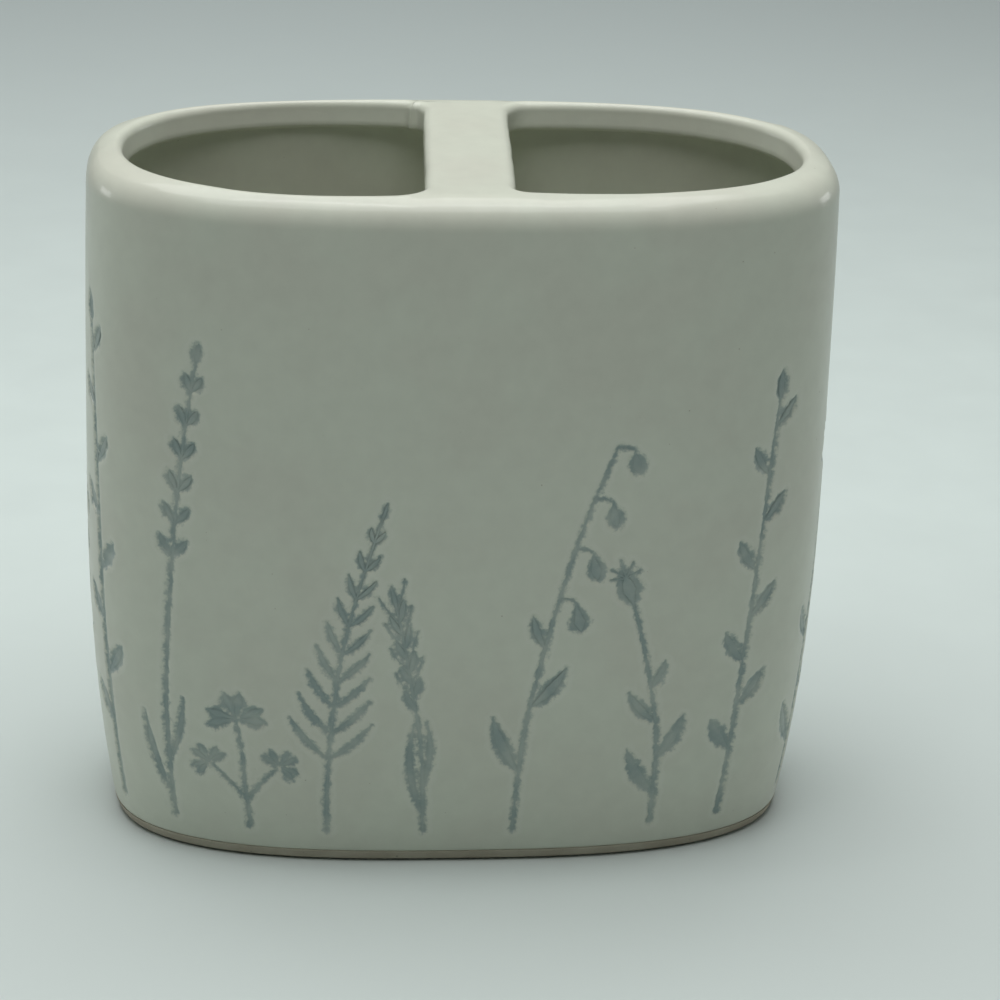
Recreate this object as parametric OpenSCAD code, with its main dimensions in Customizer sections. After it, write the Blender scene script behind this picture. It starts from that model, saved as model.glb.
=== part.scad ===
// Toothbrush holder: a slip-cast oval pot with a rounded shoulder and a deck
// with two D-shaped openings on either side of a flush bar. Plants are drawn
// in sunk lines round the wall and filled with colour.
// Origin: middle of the foot, on the surface it stands on.
// +X to the right end, +Y to the back, +Z up. Millimetres.

/* [Body] */
// Width across the widest part of the wall, left to right
body_w = 113; // [90:1:150]
// Depth across the widest part of the wall, front to back
body_d = 58; // [46:1:80]
// Height from the surface that it stands on to the top of the rim
body_h = 107; // [85:1:140]
// Squareness of the oval plan: 2 is an ellipse, more is squarer
plan_power = 2.8; // [2:0.1:3.5]
// Thickness of the side wall
wall_t = 3.4; // [2.6:0.2:5]
// Height of the widest part, as a share of the wall below the shoulder
belly_share = 0.5; // [0.3:0.05:0.7]
// How far the wall draws in from its widest part up to the shoulder
shoulder_tuck = 0.8; // [0:0.2:4]
// How far the wall draws in from its widest part down to the foot
foot_tuck = 3.6; // [0:0.2:7]
// How late the wall turns in above the foot: more is later
foot_curve = 2.4; // [1.5:0.1:4]
// Radius of the rounded shoulder
shoulder_r = 4.6; // [3.8:0.2:8]

/* [Deck] */
// Thickness of the deck that the two openings are cut through
deck_t = 4.4; // [2.6:0.2:4.4]
// Width of the rim at the left and right ends
rim_end_w = 5.4; // [4.5:0.1:9]
// Width of the rim in front of the left opening
left_front_rim_w = 4.4; // [3.5:0.1:8]
// Width of the rim behind the left opening
left_back_rim_w = 4.4; // [3.5:0.1:8]
// Width of the rim in front of the right opening
right_front_rim_w = 5.9; // [3.5:0.1:8]
// Width of the rim behind the right opening
right_back_rim_w = 5; // [3.5:0.1:8]
// Squareness of the openings' oval: 2 is an ellipse, more is squarer
opening_power = 2.2; // [2:0.1:3]
// Where an opening is deepest, as a share of half the body's width
opening_middle_share = 0.3; // [0.1:0.02:0.36]
// How far each opening narrows from its lip down through the deck
opening_flare = 1.4; // [0:0.1:2]
// Width of the bar between the two openings
bar_w = 13; // [8:0.2:24]
// How far the middle of the bar lies to the right of the body's middle
bar_shift = 0.5; // [-4:0.1:4]
// Turn of the hand-cut bar from front to back, in degrees, back end rightward
bar_turn = 3.2; // [-6:0.2:6]
// Rounding of the left opening's front corner beside the bar
left_front_corner_r = 5; // [1:0.2:6]
// Rounding of the left opening's back corner beside the bar
left_back_corner_r = 3; // [1:0.2:6]
// Rounding of the right opening's front corner beside the bar
right_front_corner_r = 2.2; // [1:0.2:6]
// Rounding of the right opening's back corner beside the bar
right_back_corner_r = 4; // [1:0.2:6]
// Rounding of the upper edge of each opening
lip_r = 1.4; // [0.5:0.1:2]

/* [Foot] */
// Height of the bare ring that the pot stands on
foot_h = 2; // [1:0.25:4]
// Width of that ring
foot_ring_w = 5.5; // [4.5:0.25:9]
// Rounding of the outer lower edge
foot_edge_r = 1.5; // [0.5:0.25:2]
// Thickness of the floor
base_t = 4; // [3:0.25:7]

/* [Drawn plants] */
// Width of a stem
stem_w = 1.3; // [0.8:0.1:2]
// Length of the longest leaf
leaf_l = 10; // [6:0.5:14]
// Width of a leaf at its widest
leaf_w = 2.8; // [1.8:0.1:4]
// Length of a bud or a grain
bud_l = 4; // [2.5:0.25:6]
// Width of a bud or a grain
bud_w = 2.4; // [1.4:0.1:4]
// Height above the foot where the stems start
stem_start = 6; // [4:0.5:12]
// Depth of the sunk lines
line_depth = 0.6; // [0.4:0.05:1]
// Thickness of the colour that lies in them
inlay_t = 0.35; // [0.2:0.05:0.4]

/* [Hidden] */

// Points round one ring of the wall, and steps along a drawn stem
ring_steps = 60;
stem_steps = 3;
// Where a petal is widest, as a share of its length
petal_share = 0.7;
// Steps in the rounding of the shoulder, of the wall's share of it, of the lip
// and of the foot's edge
shoulder_steps = 4;
wall_top_steps = ceil(shoulder_steps * (shoulder_r - deck_t) / shoulder_r);
lip_steps = 4;
foot_steps = 3;
// Points round a full circle in the rounded corners of the openings
corner_steps = 32;
// One overrun for every straight cut, how far outside the curved wall the line
// cuts start, and the height of a slice that a hull joins
overrun = wall_t / 4;
line_reach = wall_t;
slice_t = lip_r / 40;

// Colour that the drawn lines are filled with
line_colour = [0.5, 0.58, 0.6];

// Heights that the pieces share
shoulder_z = body_h - shoulder_r;
belly_z = shoulder_z * belly_share;
deck_z = body_h - deck_t;
floor_z = foot_h + base_t;

// Heights of the wall's rings below the shoulder, as shares of it. The inner
// face leaves out the lowest, which lies level with the floor
wall_level_shares = [0.08, 0.18, 0.31, 0.5, 0.75];

// Plants by side: kind, place round the wall as a share of the way round from
// the middle of the front towards +X, height as a share of the body's height,
// and lean as a share of the plant's own height
front_plant_shares = [
    ["lavender", -0.16, 0.72, 0.08], ["clover", -0.116, 0.18, -0.06],
    ["fern", -0.073, 0.5, 0.16], ["grass", -0.02, 0.36, -0.12],
    ["bells", 0.03, 0.6, 0.2], ["pod", 0.108, 0.36, -0.16],
    ["sprig", 0.15, 0.66, 0.06]];
right_plant_shares = [
    ["pod", 0.205, 0.5, 0.08], ["fern", 0.255, 0.42, 0.1], ["lavender", 0.3, 0.66, -0.08]];
back_plant_shares = [
    ["bells", 0.355, 0.52, 0.2], ["grass", 0.41, 0.56, 0.1], ["sprig", 0.465, 0.44, -0.1],
    ["pod", 0.52, 0.6, 0.08], ["clover", 0.565, 0.18, 0.06], ["fern", 0.612, 0.58, -0.1],
    ["lavender", 0.66, 0.5, 0.1]];
left_plant_shares = [
    ["grass", 0.71, 0.7, -0.06], ["bells", 0.752, 0.46, 0.06], ["sprig", 0.8, 0.74, -0.05]];

// Plan of the wall
function signed_pow(v, power) = sign(v) * pow(abs(v), power);
function oval_point(a, b, power, turn) =
    [a * signed_pow(cos(turn), 2 / power), b * signed_pow(sin(turn), 2 / power)];
function plan_point(a, b, turn) = oval_point(a, b, plan_power, turn);

// How far the wall's outer face lies inside its widest part at height z
function shoulder_inset(z) =
    shoulder_r - sqrt(max(0, pow(shoulder_r, 2) - pow(z - shoulder_z, 2)));
function inset_at(z) =
    z < belly_z ? foot_tuck * pow((belly_z - z) / belly_z, foot_curve) :
    z < shoulder_z ? shoulder_tuck * pow((z - belly_z) / (shoulder_z - belly_z), 2) :
    shoulder_tuck + shoulder_inset(z);

// One ring of points at height z, the given depth inside the outer face
function wall_ring(z, depth) =
    let (a = body_w / 2 - inset_at(z) - depth, b = body_d / 2 - inset_at(z) - depth)
    [for (i = [0 : ring_steps - 1]) concat(plan_point(a, b, 360 * i / ring_steps), z)];

// Two triangles for each face between neighbouring rings, from bottom to top
function band_faces(from, to) =
    [for (i = [0 : ring_steps - 1]) let (j = (i + 1) % ring_steps)
        each [[from * ring_steps + i, to * ring_steps + j, from * ring_steps + j],
              [from * ring_steps + i, to * ring_steps + i, to * ring_steps + j]]];

// Solid through a stack of rings, flat at both ends
module loft(rings) {
    top = len(rings) - 1;
    polyhedron(
        points = [for (ring = rings) each ring],
        faces = concat(
            [for (k = [0 : top - 1]) each band_faces(k, k + 1)],
            [[for (i = [0 : ring_steps - 1]) i]],
            [[for (i = [ring_steps - 1 : -1 : 0]) top * ring_steps + i]]));
}

// Closed hoop through a loop of rings: up the outside and down the inside
module hoop(rings) {
    count = len(rings);
    polyhedron(
        points = [for (ring = rings) each ring],
        faces = [for (k = [0 : count - 1]) each band_faces(k, (k + 1) % count)]);
}

// Heights of the rings in the rounded shoulder between two heights
function shoulder_turn(z) = asin(min(1, (z - shoulder_z) / shoulder_r));
function shoulder_levels(low, high, steps) =
    steps < 1 ? [high] :
    let (from = shoulder_turn(low), to = shoulder_turn(high))
    [for (k = [0 : steps])
        shoulder_z + shoulder_r * sin(from + (to - from) * k / steps)];

// Places on the drawn wall: distance round it from the middle of the front,
// height, and depth below its face
way_steps = 2 * ring_steps;
function way_point(i) = plan_point(body_w / 2, body_d / 2, 360 * i / way_steps - 90);
way_table = [for (i = 0, run = 0; i <= way_steps;
                  run = run + norm(way_point(i + 1) - way_point(i)), i = i + 1)
                 [run, 360 * i / way_steps - 90]];
way_round = way_table[way_steps][0];
function wrapped(s) = s - way_round * floor(s / way_round);
function wall_turn(s) = lookup(wrapped(s), way_table);
function on_wall(s, z, depth) =
    concat(plan_point(body_w / 2 - inset_at(z) - depth, body_d / 2 - inset_at(z) - depth,
                      wall_turn(s)), z);

// The stem of a plant, from its foot at 0 to its tip at 1
function plant_height(p) = p[2] * body_h;
function on_stem(p, k) =
    [p[1] * way_round + p[3] * plant_height(p) * k * k, stem_start + plant_height(p) * k];
function stem_heading(p, k) = atan2(1, 2 * p[3] * k);
function heading_step(turn, run) = [run * cos(turn), run * sin(turn)];

// Outlines of patches on the wall: a leaf is widest at its middle, a petal is
// widest near its end
function leaf_at(place, turn, run, width) =
    let (side = heading_step(turn + 90, width / 2), root = heading_step(turn + 90, stem_w / 4),
         middle = place + heading_step(turn, run / 2))
    [place + root, place - root, middle - side, place + heading_step(turn, run), middle + side];
function petal_at(place, turn, run, width) =
    let (side = heading_step(turn + 90, width / 2), root = heading_step(turn + 90, stem_w / 4),
         broad = place + heading_step(turn, run * petal_share))
    [place + root, place - root, broad - side,
     place + heading_step(turn, run) - side / 2, place + heading_step(turn, run) + side / 2,
     broad + side];
function leaf(p, k, turn, run, width) =
    leaf_at(on_stem(p, k), stem_heading(p, k) + turn, run, width);

// Leaves, buds and flowers of each kind of plant
function fern(p) =
    [for (i = [0 : 3], side = [-1, 1])
        leaf(p, 0.3 + 0.17 * i, side * 52, leaf_l * (0.9 - 0.15 * i), leaf_w * 0.7)];
function lavender(p) = concat(
    [for (i = [0 : 2], side = [-1, 1]) leaf(p, 0.64 + 0.13 * i, side * 40, bud_l, bud_w)],
    [leaf(p, 0.97, 0, bud_l, bud_w), leaf(p, 0.15, 30, leaf_l * 1.3, leaf_w * 0.7)]);
function bells(p) =
    let (side = sign(p[3]))
    concat(
    [for (i = [0 : 2])
        petal_at(on_stem(p, 0.68 + 0.16 * i), side > 0 ? -62 : -118, bud_l * 1.5, bud_w * 1.3)],
    [leaf(p, 0.25, side * 42, leaf_l, leaf_w), leaf(p, 0.45, -side * 45, leaf_l * 0.8, leaf_w)]);
function grass(p) = concat(
    [for (i = [0 : 4])
        leaf(p, 0.6 + 0.09 * i, 32 * (i % 2 == 0 ? 1 : -1), bud_l, bud_w * 0.8)],
    [leaf(p, 0.98, 0, bud_l * 1.3, bud_w * 0.7), leaf(p, 0.1, 24, leaf_l * 1.5, leaf_w * 0.8)]);
function pod(p) =
    let (tip = on_stem(p, 1), turn = stem_heading(p, 1))
    concat(
    [petal_at(tip, turn, bud_l * 1.2, bud_w * 1.7)],
    [for (side = [-1, 1]) leaf_at(tip + heading_step(turn, bud_l), turn + side * 35,
                                  bud_l * 0.8, stem_w)],
    [leaf(p, 0.3, 50, leaf_l * 0.9, leaf_w), leaf(p, 0.52, -50, leaf_l * 0.7, leaf_w)]);
function clover(p) =
    [for (i = [-1 : 1])
        petal_at(on_stem(p, 0.98), stem_heading(p, 1) + i * 80, bud_l * 1.3, leaf_w * 1.5)];
function sprig(p) = concat(
    [for (i = [0 : 4])
        leaf(p, 0.25 + 0.15 * i, 48 * (i % 2 == 0 ? 1 : -1), leaf_l * 0.65, leaf_w)],
    [leaf(p, 0.98, 0, leaf_l * 0.55, leaf_w)]);
function sprouts(p) =
    p[0] == "fern" ? fern(p) : p[0] == "lavender" ? lavender(p) :
    p[0] == "bells" ? bells(p) : p[0] == "grass" ? grass(p) :
    p[0] == "pod" ? pod(p) : p[0] == "clover" ? clover(p) : sprig(p);

// Sides of a prism between two copies of an outline of the given points
function prism_sides(count) =
    [for (i = [0 : count - 1]) let (j = (i + 1) % count)
        each [[i, count + j, j], [i, count + i, count + j]]];

// A leaf or petal between two depths below the wall's face
module patch(outline, deep, shallow) {
    count = len(outline);
    hull()
        polyhedron(
            points = [for (depth = [deep, shallow], q = outline) on_wall(q.x, q.y, depth)],
            faces = concat([[for (i = [0 : count - 1]) i]], prism_sides(count),
                           [[for (i = [count - 1 : -1 : 0]) count + i]]));
}

// A stem between two depths: points run up its right side and down its left
module stem(p, deep, shallow) {
    function edge(k, side) =
        on_stem(p, k) - side * heading_step(stem_heading(p, k) + 90, stem_w / 2);
    outline = concat([for (i = [0 : stem_steps]) edge(i / stem_steps, 1)],
                     [for (i = [stem_steps : -1 : 0]) edge(i / stem_steps, -1)]);
    count = len(outline);
    last = count - 1;
    polyhedron(
        points = [for (depth = [deep, shallow], q = outline) on_wall(q.x, q.y, depth)],
        faces = concat(
            [for (i = [0 : stem_steps - 1])
                each [[i, last - i - 1, last - i], [i, i + 1, last - i - 1]]],
            prism_sides(count),
            [for (i = [0 : stem_steps - 1])
                each [[count + i, count + last - i - 1, count + i + 1],
                      [count + i, count + last - i, count + last - i - 1]]]));
}

// A side's plants between two depths below the wall's face
module plants(rows, deep, shallow) {
    for (p = rows) {
        stem(p, deep, shallow);
        for (outline = sprouts(p))
            patch(outline, deep, shallow);
    }
}

module inlay(rows) {
    plants(rows, line_depth, line_depth - inlay_t);
}

// Oval of one opening, with its own rims in front and behind
module rim_oval(side, front_rim_w, back_rim_w) {
    middle = opening_middle_share * body_w / 2;
    a = body_w / 2 - shoulder_tuck - rim_end_w - middle;
    b = body_d / 2 - shoulder_tuck;
    translate([side * middle, 0])
        polygon([for (i = [0 : ring_steps - 1]) let (turn = 360 * i / ring_steps)
            oval_point(a, b - (turn > 180 ? front_rim_w : back_rim_w), opening_power, turn)]);
}

// An opening as a flat shape, with both corners beside the bar rounded alike
module rounded_opening(side, front_rim_w, back_rim_w, corner_r, narrower) {
    offset(r = corner_r, $fn = corner_steps)
        offset(delta = -corner_r)
            intersection() {
                offset(delta = -narrower)
                    rim_oval(side, front_rim_w, back_rim_w);
                translate([bar_shift, 0])
                    rotate(-bar_turn)
                        translate([side * (bar_w + body_w) / 2, 0])
                            square([body_w, 2 * body_d], center = true);
            }
}

// One opening as a flat shape, each of its corners with its own rounding
module opening_outline(side, narrower) {
    front_rim_w = side < 0 ? left_front_rim_w : right_front_rim_w;
    back_rim_w = side < 0 ? left_back_rim_w : right_back_rim_w;
    front_corner_r = side < 0 ? left_front_corner_r : right_front_corner_r;
    back_corner_r = side < 0 ? left_back_corner_r : right_back_corner_r;
    intersection() {
        rounded_opening(side, front_rim_w, back_rim_w, front_corner_r, narrower);
        translate([-body_w, -body_d])
            square([2 * body_w, body_d]);
    }
    intersection() {
        rounded_opening(side, front_rim_w, back_rim_w, back_corner_r, narrower);
        translate([-body_w, 0])
            square([2 * body_w, body_d]);
    }
}

// One step of the opening's flared upper edge
module lip_slice(side, k) {
    turn = 90 * k / lip_steps;
    translate([0, 0, body_h - lip_r + lip_r * sin(turn)])
        linear_extrude(slice_t)
            offset(r = lip_r * (1 - cos(turn)), $fn = corner_steps)
                opening_outline(side, 0);
}

module opening(side) {
    hull() {
        translate([0, 0, deck_z - overrun])
            linear_extrude(slice_t)
                opening_outline(side, opening_flare);
        lip_slice(side, 0);
    }
    translate([0, 0, body_h - slice_t])
        linear_extrude(overrun)
            offset(r = lip_r, $fn = corner_steps)
                opening_outline(side, 0);
    for (k = [0 : lip_steps - 1])
        hull() {
            lip_slice(side, k);
            lip_slice(side, k + 1);
        }
}

// Deck and bar in one, before they are told apart
module deck_blank() {
    difference() {
        loft([for (z = shoulder_levels(deck_z, body_h, shoulder_steps)) wall_ring(z, 0)]);
        opening(-1);
        opening(1);
    }
}

// Room of the bar between the rounded corners of the openings
module bar_room() {
    edge = body_d / 2 - shoulder_tuck;
    front = edge - max(left_front_rim_w, right_front_rim_w)
            - max(left_front_corner_r, right_front_corner_r) - opening_flare;
    back = edge - max(left_back_rim_w, right_back_rim_w)
           - max(left_back_corner_r, right_back_corner_r) - opening_flare;
    translate([bar_shift - bar_w, -front, deck_z - overrun])
        cube([2 * bar_w, front + back, deck_t + 2 * overrun]);
}

module body_wall() {
    outer = concat([foot_h], [for (share = wall_level_shares) share * shoulder_z],
                   shoulder_levels(shoulder_z, deck_z, wall_top_steps));
    inner = concat([deck_z],
                   [for (i = [len(wall_level_shares) - 1 : -1 : 1]) wall_level_shares[i] * shoulder_z],
                   [floor_z, foot_h]);
    color([0.83, 0.84, 0.79])
        difference() {
            hoop(concat([for (z = outer) wall_ring(z, 0)],
                        [for (z = inner) wall_ring(z, wall_t)]));
            plants(front_plant_shares, line_depth, -line_reach);
            plants(right_plant_shares, line_depth, -line_reach);
            plants(back_plant_shares, line_depth, -line_reach);
            plants(left_plant_shares, line_depth, -line_reach);
        }
}

module base_plate() {
    color([0.8, 0.81, 0.76])
        loft([wall_ring(foot_h, wall_t), wall_ring(floor_z, wall_t)]);
}

module foot_ring() {
    edge_rings = [for (k = [0 : foot_steps]) let (turn = 90 * k / foot_steps)
        wall_ring(foot_edge_r * (1 - cos(turn)), foot_edge_r * (1 - sin(turn)))];
    color([0.72, 0.69, 0.62])
        hoop(concat(edge_rings, [wall_ring(foot_h, 0), wall_ring(foot_h, foot_ring_w),
                                 wall_ring(0, foot_ring_w)]));
}

module top_deck() {
    color([0.85, 0.86, 0.81])
        difference() {
            deck_blank();
            bar_room();
        }
}

module divider_bar() {
    color([0.86, 0.86, 0.82])
        intersection() {
            deck_blank();
            bar_room();
        }
}

module front_inlay() {
    color(line_colour)
        inlay(front_plant_shares);
}

module right_inlay() {
    color(line_colour)
        inlay(right_plant_shares);
}

module back_inlay() {
    color(line_colour)
        inlay(back_plant_shares);
}

module left_inlay() {
    color(line_colour)
        inlay(left_plant_shares);
}

body_wall();
base_plate();
foot_ring();
top_deck();
divider_bar();
front_inlay();
right_inlay();
back_inlay();
left_inlay();
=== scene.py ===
"""Looks of a slip-cast toothbrush holder: an oval pot with a rounded shoulder, two openings
on either side of a flush bar, a bare foot ring and plants drawn in sunk, coloured lines.

Lengths are in millimetres until a mesh is made, and places follow the part's own frame:
+X to the right end, +Y to the back, +Z up, the origin in the middle of the foot.
"""

import logging
import math
from dataclasses import dataclass, field
from enum import Enum
from functools import cached_property
from typing import Callable, Sequence

import bmesh
import bpy
import numpy as np
from bpy.types import Curve, ID, Material, Mesh, Node, NodeOutputs, NodeSocket, NodeTree, Object
from mathutils import Matrix, Vector
from mathutils.geometry import delaunay_2d_cdt


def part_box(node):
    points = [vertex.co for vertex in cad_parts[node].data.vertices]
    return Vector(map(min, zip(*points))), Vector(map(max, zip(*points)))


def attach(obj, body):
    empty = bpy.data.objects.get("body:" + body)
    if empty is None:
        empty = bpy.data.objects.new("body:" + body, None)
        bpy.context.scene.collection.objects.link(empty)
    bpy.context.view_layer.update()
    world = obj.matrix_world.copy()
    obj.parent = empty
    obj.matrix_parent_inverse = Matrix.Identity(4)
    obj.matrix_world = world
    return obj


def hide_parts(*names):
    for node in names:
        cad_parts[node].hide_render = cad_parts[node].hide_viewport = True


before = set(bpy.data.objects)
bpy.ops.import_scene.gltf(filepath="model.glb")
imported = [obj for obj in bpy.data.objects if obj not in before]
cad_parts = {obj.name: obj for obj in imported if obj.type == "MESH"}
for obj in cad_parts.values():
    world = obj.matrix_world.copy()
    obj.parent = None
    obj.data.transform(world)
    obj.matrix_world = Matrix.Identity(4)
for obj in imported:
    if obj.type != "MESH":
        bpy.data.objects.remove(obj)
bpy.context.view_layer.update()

log = logging.getLogger("toothbrush_holder")

# Metres in a millimetre
MM = 0.001
BODY = "root"
# Edges sharper than this, in degrees, stay sharp: on skins, and on swept pieces
SKIN_SMOOTH_LIMIT = 40.0
SWEPT_SMOOTH_LIMIT = 50.0
# Half a line's width under which it has no edge points, in millimetres
LEAST_REACH = 0.05
# How near to a cut a point counts as lying on it, in metres
CUT_TOLERANCE = 1e-9


class Side(Enum):
    """The four sides of the pot that lines are drawn on."""

    FRONT = "front"
    RIGHT = "right"
    BACK = "back"
    LEFT = "left"


class PlantKind(Enum):
    """Kinds of plant in the drawing."""

    FERN = "fern"
    LAVENDER = "lavender"
    BELLS = "bells"
    GRASS = "grass"
    POD = "pod"
    CLOVER = "clover"
    SPRIG = "sprig"


# Points


def unit(rows: np.ndarray) -> np.ndarray:
    """Each row brought to a length of 1."""
    return rows / np.linalg.norm(rows, axis=1, keepdims=True)


def run_along(points: np.ndarray) -> np.ndarray:
    """Distance run along a line of flat points, at each of them."""
    return np.concatenate([[0.0], np.cumsum(np.hypot(*np.diff(points, axis=0).T))])


def points_at(at: np.ndarray, run: np.ndarray, points: np.ndarray) -> np.ndarray:
    """Points of a line at the distances in at; run is the distance at its own points."""
    return np.stack([np.interp(at, run, points[:, k]) for k in (0, 1)], axis=1)


def swollen(part: np.ndarray, power: float) -> np.ndarray:
    """Sine or cosine of a turn made into the share of a superellipse's half size."""
    return np.sign(part) * np.abs(part) ** (2 / power)


def swings(rows: Sequence[tuple[float, float, float, float]], first: np.ndarray,
           second: np.ndarray | float) -> np.ndarray:
    """Adds up sine waves over two values.

    Args:
        rows: for each wave how fast it swings with the first value and with the second,
            its phase and its weight.
        first: the first value at each point.
        second: the second value, one for all points or one for each.

    Returns:
        The sum at each point.
    """
    return sum(weight * np.sin(fast * first + other * second + phase)
               for fast, other, phase, weight in rows)


# Shape of the pot


@dataclass(frozen=True)
class OvalForm:
    """The rule that the pot's outer face follows, in millimetres.

    A place on the face has a turn round the oval in radians, from +X towards +Y, and a
    height. Way is the distance round the oval from the middle of the front towards +X.
    """

    half_w: float
    half_d: float
    top_z: float
    power: float = 2.8
    belly_share: float = 0.5
    shoulder_tuck: float = 0.8
    foot_tuck: float = 3.6
    foot_curve: float = 2.4
    shoulder_r: float = 4.6

    # Turns in the table of ways, and halvings and limits in the search for an inset
    TABLE_TURNS = 4801
    HALVINGS = 40
    LEAST_INSET = -5.0
    LEAST_HALF_D = 0.01

    @property
    def shoulder_z(self) -> float:
        """Height where the rounded shoulder starts."""
        return self.top_z - self.shoulder_r

    def plan(self, turn: np.ndarray, inset: np.ndarray) -> tuple[np.ndarray, np.ndarray]:
        """Point of the oval plan.

        Args:
            turn: turn round the oval.
            inset: how far the oval lies inside its widest one.

        Returns:
            The X and Y of each point.
        """
        return ((self.half_w - inset) * swollen(np.cos(turn), self.power),
                (self.half_d - inset) * swollen(np.sin(turn), self.power))

    def inset(self, z: np.ndarray) -> np.ndarray:
        """How far the outer face lies inside its widest part at height z.

        Args:
            z: heights.

        Returns:
            The inset at each height.
        """
        belly_z = self.shoulder_z * self.belly_share
        low = np.clip((belly_z - z) / belly_z, 0, None)
        high = np.clip((z - belly_z) / (self.shoulder_z - belly_z), 0, 1)
        over = np.clip(z - self.shoulder_z, 0, self.shoulder_r)
        rounding = self.shoulder_r - np.sqrt(self.shoulder_r**2 - over**2)
        return self.foot_tuck * low**self.foot_curve + self.shoulder_tuck * high**2 + rounding

    def place(self, turn: np.ndarray, z: np.ndarray, depth: np.ndarray) -> np.ndarray:
        """Points the given depth inside the outer face, one a row."""
        x, y = self.plan(turn, self.inset(z) + depth)
        return np.stack(np.broadcast_arrays(x, y, z), axis=-1)

    @cached_property
    def way_table(self) -> tuple[np.ndarray, np.ndarray]:
        """Ways round the widest oval and the turns that they belong to.

        Returns:
            The ways, and the turn at each.
        """
        turns = np.linspace(-math.pi / 2, 3 * math.pi / 2, self.TABLE_TURNS)
        return run_along(np.stack(self.plan(turns, 0.0), axis=1)), turns

    @property
    def way_round(self) -> float:
        """Length of the way once round the pot."""
        return float(self.way_table[0][-1])

    def turn_at(self, way: np.ndarray) -> np.ndarray:
        """Turn round the oval at the given way."""
        ways, turns = self.way_table
        return np.interp(np.mod(way, self.way_round), ways, turns)

    def column_ways(self, columns: int) -> np.ndarray:
        """Ways of evenly spaced columns round the pot."""
        return np.arange(columns) * self.way_round / columns

    def column_turns(self, columns: int) -> np.ndarray:
        """Turns of evenly spaced columns round the pot."""
        return self.turn_at(self.column_ways(columns))

    def ring(self, columns: int, inset: float, z: float, share: float = 1.0) -> np.ndarray:
        """A level ring of points: the oval at an inset, drawn in to a share of its size.

        Args:
            columns: how many points.
            inset: inset of the oval.
            z: the ring's height.
            share: share of the oval's size.

        Returns:
            The points, one a row.
        """
        x, y = self.plan(self.column_turns(columns), inset)
        return np.stack([x * share, y * share, np.full(columns, z)], axis=1)

    def implied_inset(self, points: np.ndarray) -> np.ndarray:
        """Inset of the oval that passes through each plan point, found by halving.

        Args:
            points: plan points, one a row.

        Returns:
            The inset of each.
        """
        x, y = np.abs(points[:, 0]), np.abs(points[:, 1])
        low = np.full(len(points), self.LEAST_INSET)
        high = np.full(len(points), self.half_d - self.LEAST_HALF_D)
        for _ in range(self.HALVINGS):
            mid = (low + high) / 2
            inside = ((x / (self.half_w - mid)) ** self.power
                      + (y / (self.half_d - mid)) ** self.power) < 1
            low = np.where(inside, mid, low)
            high = np.where(inside, high, mid)
        return (low + high) / 2


# Drawing


@dataclass
class Stroke:
    """One stroke of the drawing, on the wall laid out flat.

    points has a way and a height in each row, and radii half the stroke's width there.
    """

    points: np.ndarray
    radii: np.ndarray

    def resampled(self, step: float) -> "Stroke":
        """The same stroke with points about a step apart.

        Args:
            step: distance between the new points.

        Returns:
            The new stroke.
        """
        run = run_along(self.points)
        at = np.linspace(0, run[-1], max(3, int(round(run[-1] / step)) + 1))
        return Stroke(points_at(at, run, self.points), np.interp(at, run, self.radii))

    def headings(self) -> np.ndarray:
        """Unit direction of the stroke at each point."""
        return unit(np.gradient(self.points, axis=0))

    def rim_points(self, gap: float, step: float) -> np.ndarray:
        """Points round the stroke, the given gap outside its edge.

        Args:
            gap: distance from the stroke's edge, less than zero inside it.
            step: distance between the points.

        Returns:
            The points, one a row; none where the stroke is too thin for the gap.
        """
        fine = self.resampled(step)
        reach = fine.radii + gap
        ahead = fine.headings()
        aside = np.stack([-ahead[:, 1], ahead[:, 0]], axis=1)
        rows = [fine.points + aside * reach[:, None], fine.points - aside * reach[:, None]]
        keep = [reach > LEAST_REACH, reach > LEAST_REACH]
        for end, way in ((0, -1.0), (-1, 1.0)):
            count = max(2, int(math.pi * max(reach[end], 0) / step))
            turn = np.linspace(-math.pi / 2, math.pi / 2, count + 2)[1:-1]
            outward = way * ahead[end]
            sideways = np.array([-outward[1], outward[0]])
            rows.append(fine.points[end] + reach[end]
                        * (np.cos(turn)[:, None] * outward + np.sin(turn)[:, None] * sideways))
            keep.append(np.full(count, reach[end] > LEAST_REACH))
        return np.concatenate(rows)[np.concatenate(keep)]

    def distance(self, points: np.ndarray) -> np.ndarray:
        """Distance of each point from the stroke's edge, less than zero inside it.

        Args:
            points: flat points, one a row.

        Returns:
            The distance of each.
        """
        start, end = self.points[:-1], self.points[1:]
        along = end - start
        square = np.maximum((along**2).sum(axis=1), 1e-9)
        share = ((points[:, None, :] - start[None]) * along[None]).sum(axis=2) / square
        share = np.clip(share, 0, 1)
        nearest = start[None] + share[..., None] * along[None]
        radius = self.radii[:-1][None] + share * np.diff(self.radii)[None]
        gap = np.linalg.norm(points[:, None, :] - nearest, axis=2) - radius
        return gap.min(axis=1)


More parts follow.
